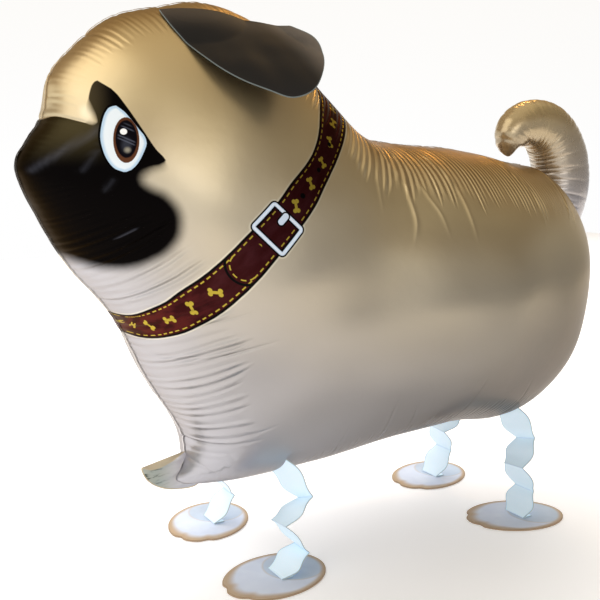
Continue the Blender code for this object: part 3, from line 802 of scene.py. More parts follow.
def envelope():
    """One closed mesh of both panels, with the prints, the painted reflections in the mask and the film's
    own places as attributes.
    """
    edge, outward, depth, step = weld_frame()
    folds = Folds(edge, step)
    share = (np.arange(BAND_RINGS + 1) / BAND_RINGS) ** 1.9
    band = edge[None] - outward[None] * (depth[None] * share[:, None])[..., None]
    loop = band[-1]
    extra = inner_places(loop, outward)
    flat = np.concatenate([loop, extra])
    triangles = triangulated(flat, len(loop))
    triangles = triangles[depth_inside(loop, flat[triangles].mean(1)) > 0]

    run = np.arange(STATIONS) * step
    index, _ = closest(extra, loop)
    way = np.roll(loop, -1, 0) - np.roll(loop, 1, 0)
    shift = ((extra - loop[index]) * way[index]).sum(1) / (way[index] ** 2).sum(1) * 2
    inner_run = (run[index] + np.clip(shift, -0.6, 0.6) * step) % (STATIONS * step)
    places = np.concatenate([*band, extra])
    near, far = [blown_panel(side, places, index, run, inner_run, folds) for side in SIDES]
    seam = (near[0][:STATIONS] + far[0][:STATIONS]) / 2
    rng = np.random.default_rng(SEED + 1)
    sway = smear(rng.normal(0, 1, STATIONS), 0.0035, step)
    seam[:, 1] += SEAM_SWAY * sway / sway.std()

    count = len(places)
    points = np.concatenate([seam, near[0][STATIONS:], far[0][STATIONS:]])
    normals = np.concatenate([near[1], far[1][STATIONS:]])
    film_place = np.concatenate([
        folds.film_place(near[2], near[3], 0),
        folds.film_place(far[2], far[3], 1)[STATIONS:],
    ])
    flat_places = np.concatenate([places, places[STATIONS:]])

    def vertex(index, side):
        """Vertex number of a place on a side. The weld's places are shared."""
        index = np.asarray(index)
        return np.where((index >= STATIONS) & (side > 0), index + count - STATIONS, index)

    quads = band_quads()
    inner_map = np.concatenate([
        np.arange(STATIONS) + BAND_RINGS * STATIONS,
        np.arange(len(extra)) + (BAND_RINGS + 1) * STATIONS,
    ])
    triangles = inner_map[triangles]
    polygons = []
    for side in SIDES:
        for group in (quads, triangles):
            group = vertex(group, side)
            a, b, c = points[group[:, 0]], points[group[:, 1]], points[group[:, 2]]
            facing = (np.cross(b - a, c - a) * normals[group[:, 1]]).sum(1)
            group = np.where(facing[:, None] < 0, group[:, ::-1], group)
            polygons += group.tolist()

    mesh = bpy.data.meshes.new("foil_envelope")
    mesh.from_pydata(points.tolist(), [], polygons)
    mesh.shade_smooth()
    give_vectors(mesh, "film", film_place)
    give_vectors(mesh, "collar", collar_places(flat_places))
    give_floats(mesh, "mask", depth_inside(smooth_loop(MASK_OUTLINE, 240), flat_places))
    give_floats(mesh, "eye", depth_inside(smooth_loop(EYE_OUTLINE, 160), flat_places))
    give_floats(mesh, "tone", height_share(flat_places))
    give_floats(mesh, "streak", streak_light(flat_places))
    return mesh, seam, outward


def give_floats(mesh, name, values):
    layer = mesh.attributes.new(name, "FLOAT", "POINT")
    layer.data.foreach_set("value", np.asarray(values, np.float32))


def give_vectors(mesh, name, values):
    layer = mesh.attributes.new(name, "FLOAT_VECTOR", "POINT")
    layer.data.foreach_set("vector", np.asarray(values, np.float32).ravel())


def collar_places(places):
    """Run along the collar from its buckle, and place across it, in metres."""
    upper = smooth_path(COLLAR_UPPER, 160)
    lower = smooth_path(COLLAR_LOWER, 160)
    centre = (upper + lower) / 2
    points, _ = on_panel(centre, -1)
    lengths = runs(points)
    flat_run = runs(centre)
    _, at, _ = nearest_on(centre, places)
    _, buckle_at, _ = nearest_on(centre, np.array([BUCKLE_PLACE]))
    run = np.interp(at, flat_run, lengths) - np.interp(buckle_at, flat_run, lengths)
    from_upper, _, upper_side = nearest_on(upper, places)
    from_lower, _, lower_side = nearest_on(lower, places)
    above = from_upper * upper_side
    below = from_lower * lower_side
    between = (above + below) / np.maximum(np.abs(above - below), 1e-6)
    beyond = 1 + np.minimum(from_upper, from_lower) / COLLAR_HALF_WIDTH
    across = np.where(upper_side != lower_side, between, np.sign(between) * beyond)
    return np.stack([run, across * COLLAR_HALF_WIDTH, np.zeros(len(places))], -1)


def streak_light(places):
    """Brightness of the faint reflections in the mask."""
    total = np.zeros(len(places))
    for light, width, path in MASK_STREAKS:
        gap, _, _ = nearest_on(np.array(path), places)
        total += light * np.exp(-((gap / width) ** 2))
    return total


def height_share(places):
    """Share of the way from the underside to the top of the body, for the printed fade."""
    low = np.interp(places[:, 0], *FADE_LOW)
    high = np.interp(places[:, 0], *FADE_HIGH)
    return (places[:, 1] - low) / (high - low)


# Shader building

class Value:
    """One output socket, so that sums on it are written as Python expressions."""

    def __init__(self, tree, socket):
        self.tree = tree
        self.socket = socket

    def apply(self, operation, *others):
        return self.tree.node("ShaderNodeMath", {"operation": operation}, [self, *others])

    def __add__(self, other):
        return self.apply("ADD", other)

    def __sub__(self, other):
        return self.apply("SUBTRACT", other)

    def __rsub__(self, other):
        return self * -1.0 + other

    def __mul__(self, other):
        return self.apply("MULTIPLY", other)

    def __truediv__(self, other):
        return self.apply("DIVIDE", other)

    def __rtruediv__(self, other):
        return self ** -1.0 * other

    def __pow__(self, other):
        return self.apply("POWER", other)

    def __abs__(self):
        return self.apply("ABSOLUTE")

    __radd__ = __add__
    __rmul__ = __mul__

    def low(self, other):
        return self.apply("MINIMUM", other)

    def high(self, other):
        return self.apply("MAXIMUM", other)

    def sine(self):
        return self.apply("SINE")

    def root(self):
        return self.apply("SQRT")

    def wrap(self, low, high):
        return self.apply("WRAP", high, low)

    def steps(self):
        return self.apply("FLOOR")

    def over(self, low, high, start=0.0, end=1.0):
        """A soft step between two values."""
        settings = {"interpolation_type": "SMOOTHSTEP", "clamp": True}
        return self.tree.node("ShaderNodeMapRange", settings, [self, low, high, start, end])


class Nodes:
    """A node tree. Every node in it comes from the node method."""

    def __init__(self, tree):
        self.tree = tree
        tree.nodes.clear()

    def node(self, kind, settings, inputs, output=0):
        """A node with its settings and inputs. A list of values all goes into one input."""
        made = self.tree.nodes.new(kind)
        for name, value in settings.items():
            if name == "stops":
                ramp = made.color_ramp
                while len(ramp.elements) < len(value):
                    ramp.elements.new(0.5)
                for element, (place, colour) in zip(ramp.elements, value):
                    element.position = place
                    element.color = (*colour, 1)
            else:
                setattr(made, name, value)
        pairs = inputs.items() if isinstance(inputs, dict) else enumerate(inputs)
        for name, value in pairs:
            socket = made.inputs[name]
            if isinstance(value, Value):
                self.tree.links.new(value.socket, socket)
            elif isinstance(value, list):
                for part in value:
                    self.tree.links.new(part.socket, socket)
            elif isinstance(value, tuple) and len(value) == 3 and len(socket.default_value) == 4:
                socket.default_value = (*value, 1)
            else:
                socket.default_value = value
        if output is None:
            return made
        return Value(self, made.outputs[output])

    def parts(self, vector):
        made = self.node("ShaderNodeSeparateXYZ", {}, [vector], None)
        return [Value(self, socket) for socket in made.outputs]

    def vector(self, x, y, z=0.0):
        return self.node("ShaderNodeCombineXYZ", {}, [x, y, z])

    def ramp(self, value, *stops):
        return self.node("ShaderNodeValToRGB", {"stops": stops}, [value], "Color")

    def mix(self, share, under, over):
        inputs = {0: share, 6: under, 7: over}
        return self.node("ShaderNodeMix", {"data_type": "RGBA"}, inputs, 2)


class Surface(Nodes):
    """One material, which places its pattern by the object's own coordinates."""

    def __init__(self, name):
        self.material = bpy.data.materials.new(name)
        self.material.use_nodes = True
        super().__init__(self.material.node_tree)
        self.place = self.node("ShaderNodeTexCoord", {}, {}, "Object")
        self.x, self.y, self.z = self.parts(self.place)

    def attribute(self, name, output="Fac"):
        return self.node("ShaderNodeAttribute", {"attribute_name": name}, {}, output)

    def noise(self, place, scale, detail=2.0, roughness=0.5):
        inputs = {"Vector": place, "Scale": scale, "Detail": detail, "Roughness": roughness}
        return self.node("ShaderNodeTexNoise", {}, inputs, "Fac")

    def bump(self, height, strength, distance, normal=None):
        inputs = {"Strength": strength, "Distance": distance, "Height": height}
        if normal:
            inputs["Normal"] = normal
        return self.node("ShaderNodeBump", {}, inputs, "Normal")

    def finish(self, **inputs):
        """Ends the material in one surface shader with the given sockets."""
        named = {}
        for name, value in inputs.items():
            named[name.replace("_", " ").title().replace("Ior", "IOR")] = value
        shader = self.node("ShaderNodeBsdfPrincipled", {}, named, "BSDF")
        self.node("ShaderNodeOutputMaterial", {}, {"Surface": shader}, None)
        return self.material


GOLD_INK = (0.47, 0.36, 0.045)
COLLAR_BROWN = (0.034, 0.0042, 0.0045)
COLLAR_RED = (0.085, 0.012, 0.010)
INK_BLACK = (0.0030, 0.0024, 0.0024)
BUCKLE_WHITE = (0.62, 0.74, 0.90)
HALO = (0.80, 0.76, 0.60)
# Soft edge of the finest printed lines
LINE_EDGE = 0.00025

# Sizes of the printed collar: places are runs from its buckle, in metres
BONE_SPACING = 0.025
STITCH_SPACING = 0.007
STITCH_LENGTH = 0.004
STITCH_INSET = 0.0034
STRAP_END = 0.043
STRAP_END_RADIUS = 0.0140
BONE_REACH = 0.0038
BONE_CLEARANCE = 0.0170
HOLE_RUNS = (-0.036, -0.066, -0.097)
HOLE_RADIUS = 0.0023
BUCKLE_CORE = (0.0115, 0.0135)
BUCKLE_ROUNDING = 0.0050
BUCKLE_INSET = 0.00285
PRONG_RUN = -0.0090
PRONG_REACH = 0.0031
PRONG_OFFSET = 0.0017
# Metallic share and gloss coat of the film where nothing dark is printed
FILM_METALLIC = 0.95
FILM_COAT = 0.10

# Middle of the printed iris, along and up, its half sizes, and its lean from upright
IRIS_PLACE = (-0.2630, 0.4006)
IRIS_SIZE = (0.0089, 0.0181)
IRIS_LEAN = 0.0776


def line_at(value, half_width, edge=LINE_EDGE):
    """A printed line where the value is near 0."""
    return (abs(value) - half_width).over(edge, -edge)


def length_of(x, y):
    return (x ** 2 + y ** 2).root()


def dashes(value):
    """Stitches one after the other along the value."""
    half = STITCH_SPACING / 2
    return (abs(value.wrap(-half, half)) - STITCH_LENGTH / 2).over(LINE_EDGE, -LINE_EDGE)


def strap_print(surface, run, across, from_edge):
    """Maroon strap with dark edges, stitching, holes and bones."""
    sheen = surface.noise(surface.vector(run, across * 2.5), 45.0, 3.0)
    strap = surface.mix(sheen.over(0.35, 0.75), COLLAR_BROWN, (0.050, 0.010, 0.012))
    front = run.over(0.06, 0.13) * sheen.over(0.40, 0.62)
    strap = surface.mix(front, strap, COLLAR_RED)
    # Small gold bones, each turned its own way
    cell = run.wrap(-BONE_SPACING / 2, BONE_SPACING / 2)
    number = ((run - cell) / BONE_SPACING + 0.1).steps()
    chance = surface.node("ShaderNodeTexWhiteNoise", {"noise_dimensions": "1D"}, {"W": number}, "Value")
    spun = surface.node("ShaderNodeVectorRotate", {"rotation_type": "Z_AXIS"}, {
        "Vector": surface.vector(cell, across), "Angle": chance * 2.4 - 1.2})
    bone_x, bone_y, _ = surface.parts(spun)
    knob = length_of(abs(bone_x) - BONE_REACH, abs(bone_y) - 0.0015) - 0.0018
    shank = (abs(bone_x) - BONE_REACH).high(abs(bone_y) - 0.0012)
    bone = knob.low(shank).over(LINE_EDGE, -LINE_EDGE)
    # Strap end: its rounded tip lies over the band
    tip = length_of((run - STRAP_END).high(0.0), across) - STRAP_END_RADIUS
    under_tip = tip.over(0.0006, -0.0006) * run.over(0.020, 0.021)
    bone = bone * (1 - under_tip) * (abs(run) - BONE_CLEARANCE).over(-LINE_EDGE, LINE_EDGE)
    strap = surface.mix(bone, strap, GOLD_INK)
    # Stitches along both edges
    strap = surface.mix(dashes(run) * line_at(from_edge - STITCH_INSET, 0.0005), strap, GOLD_INK)
    past_tip = (run - STRAP_END).over(0.0, 0.0005)
    turned = across.apply("ARCTAN2", run - STRAP_END) * (STRAP_END_RADIUS - STITCH_INSET)
    strap = surface.mix(line_at(tip + STITCH_INSET, 0.0005) * dashes(turned) * past_tip, strap, GOLD_INK)
    strap = surface.mix(line_at(tip, 0.0010) * past_tip, strap, INK_BLACK)
    strap = surface.mix((from_edge - 0.0019).over(LINE_EDGE, -LINE_EDGE), strap, INK_BLACK)
    # Holes
    for at in HOLE_RUNS:
        hole = (length_of(run - at, across) - HOLE_RADIUS).over(LINE_EDGE, -LINE_EDGE)
        strap = surface.mix(hole, strap, INK_BLACK)
    return strap


def buckle_print(surface, colour, run, across, inside):
    """White buckle frame and prong, both edged in black. Returns where they are white, and inked."""
    box_x, box_y = abs(run) - BUCKLE_CORE[0], abs(across) - BUCKLE_CORE[1]
    shell = length_of(box_x.high(0.0), box_y.high(0.0)) + box_x.high(box_y).low(0.0) - BUCKLE_ROUNDING
    frame_ink = line_at(shell + BUCKLE_INSET, BUCKLE_INSET)
    frame_white = line_at(shell + BUCKLE_INSET, 0.00155)
    prong = length_of((abs(run - PRONG_RUN) - PRONG_REACH).high(0.0), across + PRONG_OFFSET)
    prong_ink = (prong - 0.0039).over(LINE_EDGE, -LINE_EDGE)
    prong_white = (prong - 0.0026).over(LINE_EDGE, -LINE_EDGE)
    colour = surface.mix(line_at(shell - 0.0008, 0.0006, 0.0005) * (1 - inside) * 0.55, colour, HALO)
    colour = surface.mix(frame_ink, colour, INK_BLACK)
    colour = surface.mix(frame_white, colour, BUCKLE_WHITE)
    colour = surface.mix(line_at(shell + BUCKLE_INSET, 0.0003) * 0.7, colour, (0.92, 0.96, 1.0))
    colour = surface.mix(prong_ink, colour, INK_BLACK)
    colour = surface.mix(prong_white, colour, BUCKLE_WHITE)
    return colour, frame_white.high(prong_white), frame_ink.high(prong_ink)


def collar_print(surface, colour, metallic, coat):
    """The strap with a pale outline, and the buckle over it."""
    run, across, _ = surface.parts(surface.attribute("collar", "Vector"))
    from_edge = COLLAR_HALF_WIDTH - abs(across)
    strap = strap_print(surface, run, across, from_edge)
    colour = surface.mix(line_at(from_edge + 0.0008, 0.0006, 0.0005) * 0.55, colour, HALO)
    inside = from_edge.over(-0.0003, 0.0003)
    colour = surface.mix(inside, colour, strap)
    colour, white, inked = buckle_print(surface, colour, run, across, inside)
    covered = inside.high(inked)
    metallic = metallic * (1 - white) + (covered - white).high(0.0)
    coat = coat * (1 - covered) + covered * 0.06
    return colour, metallic.low(1.0), coat


def mask_print(surface, colour, metallic, coat):
    """Black-brown mask with a crisp upper edge and soft cheeks, and faint painted reflections in its black.
    """
    mask = surface.attribute("mask")
    drift = surface.noise(surface.place, 90.0, 2.0) - 0.5
    # The mask's edge is crisp above, and soft down the cheek and in the brow's lower left
    low_part = surface.z.over(0.386, 0.376)
    flame = length_of((surface.x + 0.2838) / 0.0034, (surface.z - 0.4215) / 0.0085).over(1.6, 0.6)
    softness = low_part * 0.0056 + flame * 0.0034 + 0.0004
    cover = ((mask + low_part * (drift * 0.0010 + 0.0012)) / softness).over(-1.0, 1.0)
    glow = length_of((surface.x + 0.2862) / 0.0050, (surface.z - 0.4225) / 0.0070).over(1.3, 0.3)
    colour = surface.mix(glow * 0.6, colour, (0.86, 0.78, 0.58))
    # The upper muzzle is dark olive, fading into black
    warm = surface.z.over(0.378, 0.414) * surface.x.over(-0.268, -0.288)
    ink = surface.mix(warm, INK_BLACK, (0.050, 0.040, 0.018))
    # Painted reflections: faint pale streaks and a thin glint in the black of the mask.
    ink = surface.mix(surface.attribute("streak"), ink, (0.22, 0.23, 0.29))
    brow = surface.z.over(0.414, 0.440) * surface.x.over(-0.266, -0.282)
    ink = surface.mix(brow * 0.5, ink, (0.045, 0.034, 0.020))
    colour = surface.mix(cover, colour, ink)
    metallic = cover.high(metallic)
    return colour, metallic, (1 - cover * 0.92) * coat


def eye_print(surface, colour, metallic, coat):
    """A pale eye with a black outline and a dark iris, which holds faint reflections and a glint."""
    eye = surface.attribute("eye")
    outline = eye.over(-0.0017, -0.0012)
    colour = surface.mix(outline, colour, INK_BLACK)
    white = eye.over(-0.0002, 0.0002)
    shade = surface.mix(eye.over(0.0006, 0.0030), (0.50, 0.68, 0.86), (0.84, 0.92, 0.98))
    colour = surface.mix(white, colour, shade)
    across, up = IRIS_SIZE
    down = surface.z - IRIS_PLACE[1]
    side = surface.x - IRIS_PLACE[0] - down * IRIS_LEAN
    iris = length_of(side / across, down / up)
    edge = surface.noise(surface.place, 700.0, 2.0) * 0.04
    ring = (iris + edge).over(1.03, 0.99)
    colour = surface.mix(ring * white, colour, (0.125, 0.048, 0.024))
    dark = (length_of(side / across, (down - 0.0008) / up) + edge).over(0.88, 0.80)
    colour = surface.mix(dark * white, colour, (0.006, 0.005, 0.008))
    lit = length_of(side / 0.0052, (down + 0.0040) / 0.0085).over(1.0, 0.2)
    colour = surface.mix(lit * 0.12, colour, (0.30, 0.34, 0.48))
    slanted = down + side * 0.5
    for at in (0.0128, 0.0096, 0.0012, -0.0012):
        band = line_at(slanted - at, 0.0005, 0.0006) * length_of(side / 0.0068, down / 0.0150).over(1.0, 0.7)
        colour = surface.mix(band * 0.30, colour, (0.28, 0.32, 0.46))
    warm_glow = length_of(side - 0.0006, down + 0.0078).over(0.0034, 0.0004)
    colour = surface.mix(warm_glow * 0.8, colour, (0.45, 0.42, 0.34))
    glint = (length_of(side + 0.0018, down - 0.0066) - 0.0024).over(LINE_EDGE, -LINE_EDGE)
    colour = surface.mix(glint, colour, (0.97, 0.99, 1.0))
    pale = white * (1 - ring) + glint
    metallic = metallic.high(outline) * (1 - pale)
    coat = coat * (1 - outline)
    return colour, metallic, coat


def film_colour(surface):
    """The printed fade from gold on top, through beige, to silver below, with painted shade that dims the
    rear and darkens the top of the back.
    """
    tone = surface.attribute("tone") + (surface.noise(surface.place, 7.0, 2.0) - 0.5) * 0.10
    colour = surface.ramp(
        tone,
        (0.00, (0.50, 0.50, 0.54)),
        (0.22, (0.48, 0.46, 0.46)),
        (0.45, (0.55, 0.49, 0.39)),
        (0.75, (0.74, 0.61, 0.37)),
        (0.98, (0.70, 0.50, 0.23)),
    )
    # Painted shade: the lower rear darkens to a dark grey-brown, away from the light.
    rear = surface.x.over(-0.25, 0.22) * tone.over(0.80, 0.35)
    colour = surface.mix(rear * 0.80, colour, (0.105, 0.095, 0.080))
    # Painted shade: the top of the back and the nape darken to a deeper brown.
    back = surface.x.over(-0.10, 0.0) * tone.over(0.76, 1.0)
    return surface.mix(back * 0.55, colour, (0.34, 0.20, 0.075))


def ribs(surface):
    """Height of the fine parallel ribs: a wave across their numbers, fading where each one ends."""
    number, share, strength = surface.parts(surface.attribute("film", "Vector"))
    own = surface.noise(surface.vector(number, share * 0.5), 0.55, 2.0)
    wobble = surface.noise(surface.vector(number * 0.33, share), 1.0, 1.0)
    wave = (number * (2 * math.pi) + wobble * 6.0).sine()
    end = 0.66 + own * 0.5
    amount = share.over(0.02, 0.55, 0.30, 1.0) * (share - end).over(0.0, 0.16, 1.0, 0.0)
    return wave * own.over(0.30, 0.72, 0.25, 1.5) * amount * strength


def printed_foil():
    """The body's film: the fade under its prints, with painted shade and painted reflections, fine ribs and
    a grain.
    """
    surface = Surface("printed_foil")
    colour, metallic, coat = mask_print(surface, film_colour(surface), FILM_METALLIC, FILM_COAT)
    colour, metallic, coat = eye_print(surface, colour, metallic, coat)
    colour, metallic, coat = collar_print(surface, colour, metallic, coat)
    normal = surface.bump(ribs(surface), 1.0, 0.00045)
    grain = surface.noise(surface.place, 130.0, 3.0)
    normal = surface.bump(grain, 0.35, 0.0003, normal)
    rough = surface.noise(surface.place, 30.0, 3.0) * 0.08 + 0.33
    return surface.finish(
        base_color=colour, metallic=metallic, roughness=rough, specular_tint=(0.60, 0.55, 0.50),
        normal=normal, coat_weight=coat, coat_roughness=0.10)


def tail_film():
    """Film without a print, fading from silver at the root to gold on top of the curl."""
    surface = Surface("tail_foil")
    low, high = TAIL_FADE[0][0], TAIL_FADE[-1][0]
    drift = (surface.noise(surface.place, 22.0, 2.0) - 0.5) * 0.15
    share = (surface.z - low) / (high - low) + drift
    colour = surface.ramp(share, *[((height - low) / (high - low), shade) for height, shade in TAIL_FADE])
    normal = surface.bump(surface.noise(surface.place, 160.0, 3.0), 0.3, 0.0006)
    rough = surface.noise(surface.place, 45.0, 2.0) * 0.10 + 0.22
    return surface.finish(
        base_color=colour, metallic=0.72, roughness=rough, normal=normal,
        coat_weight=0.25, coat_roughness=0.12)


def ear_film():
    """Dark film, with painted highlights in taupe at the root and beyond the crease, where the tip turns up,
    and a thin pale edge.
    """
    surface = Surface("ear_foil")
    rim, tipward, out = surface.parts(surface.attribute("flap", "Vector"))
    cloud = surface.noise(surface.place, 28.0, 3.0)
    # Painted highlight: lighter taupe near the root, along the top of the flap.
    colour = surface.mix(out.over(0.22, 0.0), (0.0045, 0.0035, 0.0030), (0.042, 0.031, 0.021))
    colour = surface.mix(out.over(0.60, 0.90), colour, (0.010, 0.0085, 0.0085))
    # Painted highlight: the turned-up tip past the crease is lighter taupe.
    colour = surface.mix(tipward.over(0.34, 0.64), colour, (0.145, 0.118, 0.092))
    colour = surface.mix(cloud.over(0.45, 0.75) * 0.3, colour, (0.016, 0.013, 0.011))
    colour = surface.mix(rim.over(0.0008, 0.0004) * 0.7, colour, (0.20, 0.24, 0.24))
    normal = surface.bump(surface.noise(surface.place, 120.0, 3.0), 0.12, 0.0005)
    rough = 0.52 + cloud * 0.12
    return surface.finish(base_color=colour, roughness=rough, specular_ior_level=0.28, normal=normal)


def leg_card():
    """White card with faint fibres, with painted shade along its folds, where it is cooler and a little
    darker, with thin edges and a faint painted cool glow.
    """
    surface = Surface("leg_card")
    fibres = surface.noise(surface.place, 900.0, 4.0, 0.6)
    cloud = surface.noise(surface.place, 60.0, 2.0)
    fold = surface.attribute("fold")
    colour = surface.mix(fibres.over(0.35, 0.75), (0.76, 0.88, 0.97), (0.82, 0.92, 0.99))
    colour = surface.mix(cloud * 0.3, colour, (0.76, 0.84, 0.95))
    # Painted shade: the card is darker and cooler along its folds.
    colour = surface.mix(fold.over(0.10, 0.0) * 0.5, colour, (0.60, 0.68, 0.76))
    edge = surface.attribute("edge")
    colour = surface.mix(edge.over(0.0018, 0.0009) * 0.7, colour, (0.52, 0.80, 0.88))
    colour = surface.mix(edge.over(0.0009, 0.0003) * 0.8, colour, (0.36, 0.30, 0.24))
    normal = surface.bump(fibres, 0.2, 0.0003)
    # Painted light: the card glows faintly cool of itself, as no lamp does.
    return surface.finish(
        base_color=colour, roughness=0.55 + fibres * 0.15, normal=normal,
        emission_color=(0.45, 0.78, 1.0), emission_strength=0.15)


def foot_card():
    """White card with a soft tan rim, broad at the toes, and a tan arc round its heel, inside which the
    leg's shadow is painted in cool grey, with a faint painted glow.
    """
    surface = Surface("foot_card")
    rim, along, out = surface.parts(surface.attribute("print", "Vector"))
    fibres = surface.noise(surface.place, 700.0, 4.0, 0.6)
    cloud = surface.noise(surface.place, 55.0, 2.0)
    white = surface.mix(cloud.over(0.3, 0.8), (0.66, 0.73, 0.88), (0.72, 0.79, 0.92))
    # Painted shadow of the leg: cooler, darker card inside the arc round the heel.
    painted_leg_shadow = surface.mix(cloud.over(0.3, 0.8), (0.50, 0.60, 0.74), (0.56, 0.66, 0.80))
    heel = length_of((along - 0.026) / 0.030, out / 0.030) + (cloud - 0.5) * 0.03
    colour = surface.mix(heel.over(1.03, 0.95), white, painted_leg_shadow)
    colour = surface.mix(line_at(heel - 1.0, 0.015, 0.055) * 0.7, colour, (0.56, 0.46, 0.37))
    toes = along.over(-0.005, -0.045)
    edge = (rim + (cloud - 0.5) * 0.0012) / (toes * 1.4 + 1.0)
    colour = surface.mix(edge.over(0.0066, 0.0012), colour, (0.50, 0.36, 0.22))
    colour = surface.mix(rim.over(0.0013, 0.0), colour, (0.36, 0.24, 0.13))
    colour = surface.mix(fibres * 0.08, colour, (0.60, 0.57, 0.55))
    normal = surface.bump(fibres, 0.15, 0.0003)
    # Painted light: a very faint cool glow of the card itself.
    return surface.finish(
        base_color=colour, roughness=fibres * 0.15 + 0.5, normal=normal,
        emission_color=(0.72, 0.84, 1.0), emission_strength=0.02)


# Pieces

def add_piece(name, mesh, material):
    mesh.name = name
    mesh.materials.clear()
    mesh.materials.append(material)
    piece = bpy.data.objects.new(name, mesh)
    bpy.context.scene.collection.objects.link(piece)
    return piece


def skin(rows, wrap=False, caps=False):
    """Faces that join rows of vertex numbers in turn."""
    faces = []
    rows = [list(row) for row in rows]
    for row, following in zip(rows, rows[1:]):
        last = len(row) if wrap else len(row) - 1
        for i in range(last):
            j = (i + 1) % len(row)
            faces.append((row[i], row[j], following[j], following[i]))
    if caps:
        faces.append(tuple(rows[0]))
        faces.append(tuple(rows[-1]))
    return faces


def closed_mesh(name, points, faces):
    """A mesh whose faces are turned outwards."""
    mesh = bpy.data.meshes.new(name)
    mesh.from_pydata([tuple(point) for point in points], [], faces)
    work = bmesh.new()
    work.from_mesh(mesh)
    bmesh.ops.recalc_face_normals(work, faces=work.faces)
    work.to_mesh(mesh)
    work.free()
    return mesh


class Tree(Nodes):
    """A geometry tree with one input for each named size."""

    def __init__(self, name, sizes):
        tree = bpy.data.node_groups.new(name, "GeometryNodeTree")
        tree.interface.new_socket("Geometry", in_out="INPUT", socket_type="NodeSocketGeometry")
        for label, value in sizes.items():
            socket = tree.interface.new_socket(label, in_out="INPUT", socket_type="NodeSocketFloat")
            socket.default_value = value
        tree.interface.new_socket("Geometry", in_out="OUTPUT", socket_type="NodeSocketGeometry")
        super().__init__(tree)
        self.start = self.node("NodeGroupInput", {}, {}, None)

    def given(self, name):
        return Value(self, self.start.outputs[name])

    def end(self, geometry, material):
        real = self.node("GeometryNodeRealizeInstances", {}, [geometry])
        done = self.node("GeometryNodeSetMaterial", {}, {"Geometry": real, "Material": material})
        self.node("NodeGroupOutput", {}, [done], None)
        return self.tree


def grown(name, mesh, tree, sizes, material):
    """The plain mesh that a geometry tree makes from a start mesh, with the given sizes."""
    holder = bpy.data.objects.new(name, mesh)
    bpy.context.scene.collection.objects.link(holder)
    modifier = holder.modifiers.new("grow", "NODES")
    modifier.node_group = tree
    for item in tree.interface.items_tree:
        if item.item_type == "SOCKET" and item.in_out == "INPUT" and item.name in sizes:
            modifier[item.identifier] = sizes[item.name]
    graph = bpy.context.evaluated_depsgraph_get()
    made = bpy.data.meshes.new_from_object(
        holder.evaluated_get(graph), preserve_all_data_layers=True, depsgraph=graph)
    holder.modifiers.remove(modifier)
    bpy.data.objects.remove(holder)
    return add_piece(name, made, material)


def weld_edge(seam, outward, material):
    """The flat margin outside the weld, swept along the puckered seam."""
    sizes = {"Width": MARGIN_WIDTH, "Thickness": MARGIN_THICKNESS}
    tree = Tree("weld_margin", sizes)
    curve = tree.node("GeometryNodeMeshToCurve", {}, {"Mesh": tree.given("Geometry")})
    free = tree.node("GeometryNodeSetCurveNormal", {"mode": "FREE"}, {
        "Curve": curve, "Normal": (0.0, 1.0, 0.0)})
    profile = tree.node("GeometryNodeCurvePrimitiveQuadrilateral", {"mode": "RECTANGLE"}, {
        "Width": tree.given("Width"), "Height": tree.given("Thickness")})
    swept = tree.node("GeometryNodeCurveToMesh", {}, {
        "Curve": free, "Profile Curve": profile, "Fill Caps": True})
    group = tree.end(swept, material)
    line = seam.copy()
    line[:, [0, 2]] += outward * (MARGIN_WIDTH / 2 - MARGIN_LAP)
    mesh = bpy.data.meshes.new("weld_line")
    count = len(line)
    mesh.from_pydata(line.tolist(), [(i, (i + 1) % count) for i in range(count)], [])
    return grown("weld_margin", mesh, group, sizes, material)


def tail_piece(material):
    """Curled tail of two welded strips, puckered on the inside of its bend."""
    steps, sides = 220, 72
    inner_folds, outer_folds = 26, 34
    line = smooth_path(TAIL_LINE, steps)
    across = right_of(unit(np.gradient(line[:, :2], axis=0)))
    run = np.linspace(0, 1, steps)
    tip = np.clip(run / 0.12, 0, 1)
    half = line[:, 2] * np.sqrt(np.clip(1 - (1 - tip) ** 2, 0.015, 1)) * BODY_LENGTH
    centre = to_metres(line[:, :2])
    rng = np.random.default_rng(SEED + 2)
    angle = np.arange(sides) / sides * 2 * math.pi
    inner = (1 + np.cos(angle)) / 2
    fold = np.zeros((steps, sides))
    for number in range(inner_folds):
        at = (number + 0.5 + rng.uniform(-0.3, 0.3)) / inner_folds
        depth = rng.uniform(0.0006, 0.0022) * smoothstep(at, 0.02, 0.15)
        width = rng.uniform(0.006, 0.012)
        for hand in (0, 1):
            reach = rng.uniform(0.35, 0.95)
            lean = rng.normal(0, 0.03)
            on_side = (angle < math.pi) if hand == 0 else (angle >= math.pi)
            offset = run[:, None] - at - lean * (1 - inner[None])
            fade = np.clip(1 - (1 - inner[None]) / reach, 0, 1) ** 1.2
            valley = np.exp(-np.abs(offset) / (width * (1.4 - 0.6 * inner[None])))
            fold -= depth * valley * fade * on_side[None]
    for number in range(outer_folds):
        at = (number + 0.5 + rng.uniform(-0.3, 0.3)) / outer_folds
        depth = rng.uniform(0.0003, 0.0014)
        fade = np.clip(1 - inner[None] / rng.uniform(0.2, 0.5), 0, 1) ** 1.3
        fold -= depth * np.exp(-np.abs(run[:, None] - at) / 0.006) * fade
    # The section is an oval whose sides are drawn in at the two welds
    radius = half[:, None] + fold
    reach = np.cos(angle) * radius
    out = np.abs(np.sin(angle)) ** 0.92 * np.sign(np.sin(angle)) * radius * TAIL_FULLNESS
    flat = centre[:, None] + across[:, None] * reach[..., None]
    points = np.stack([flat[..., 0], out, flat[..., 1]], -1).reshape(-1, 3)
    rows = np.arange(steps * sides).reshape(steps, sides)
    mesh = closed_mesh("tail", points, skin(rows, wrap=True, caps=True))
    mesh.shade_smooth()
    return add_piece("curled_tail", mesh, material)


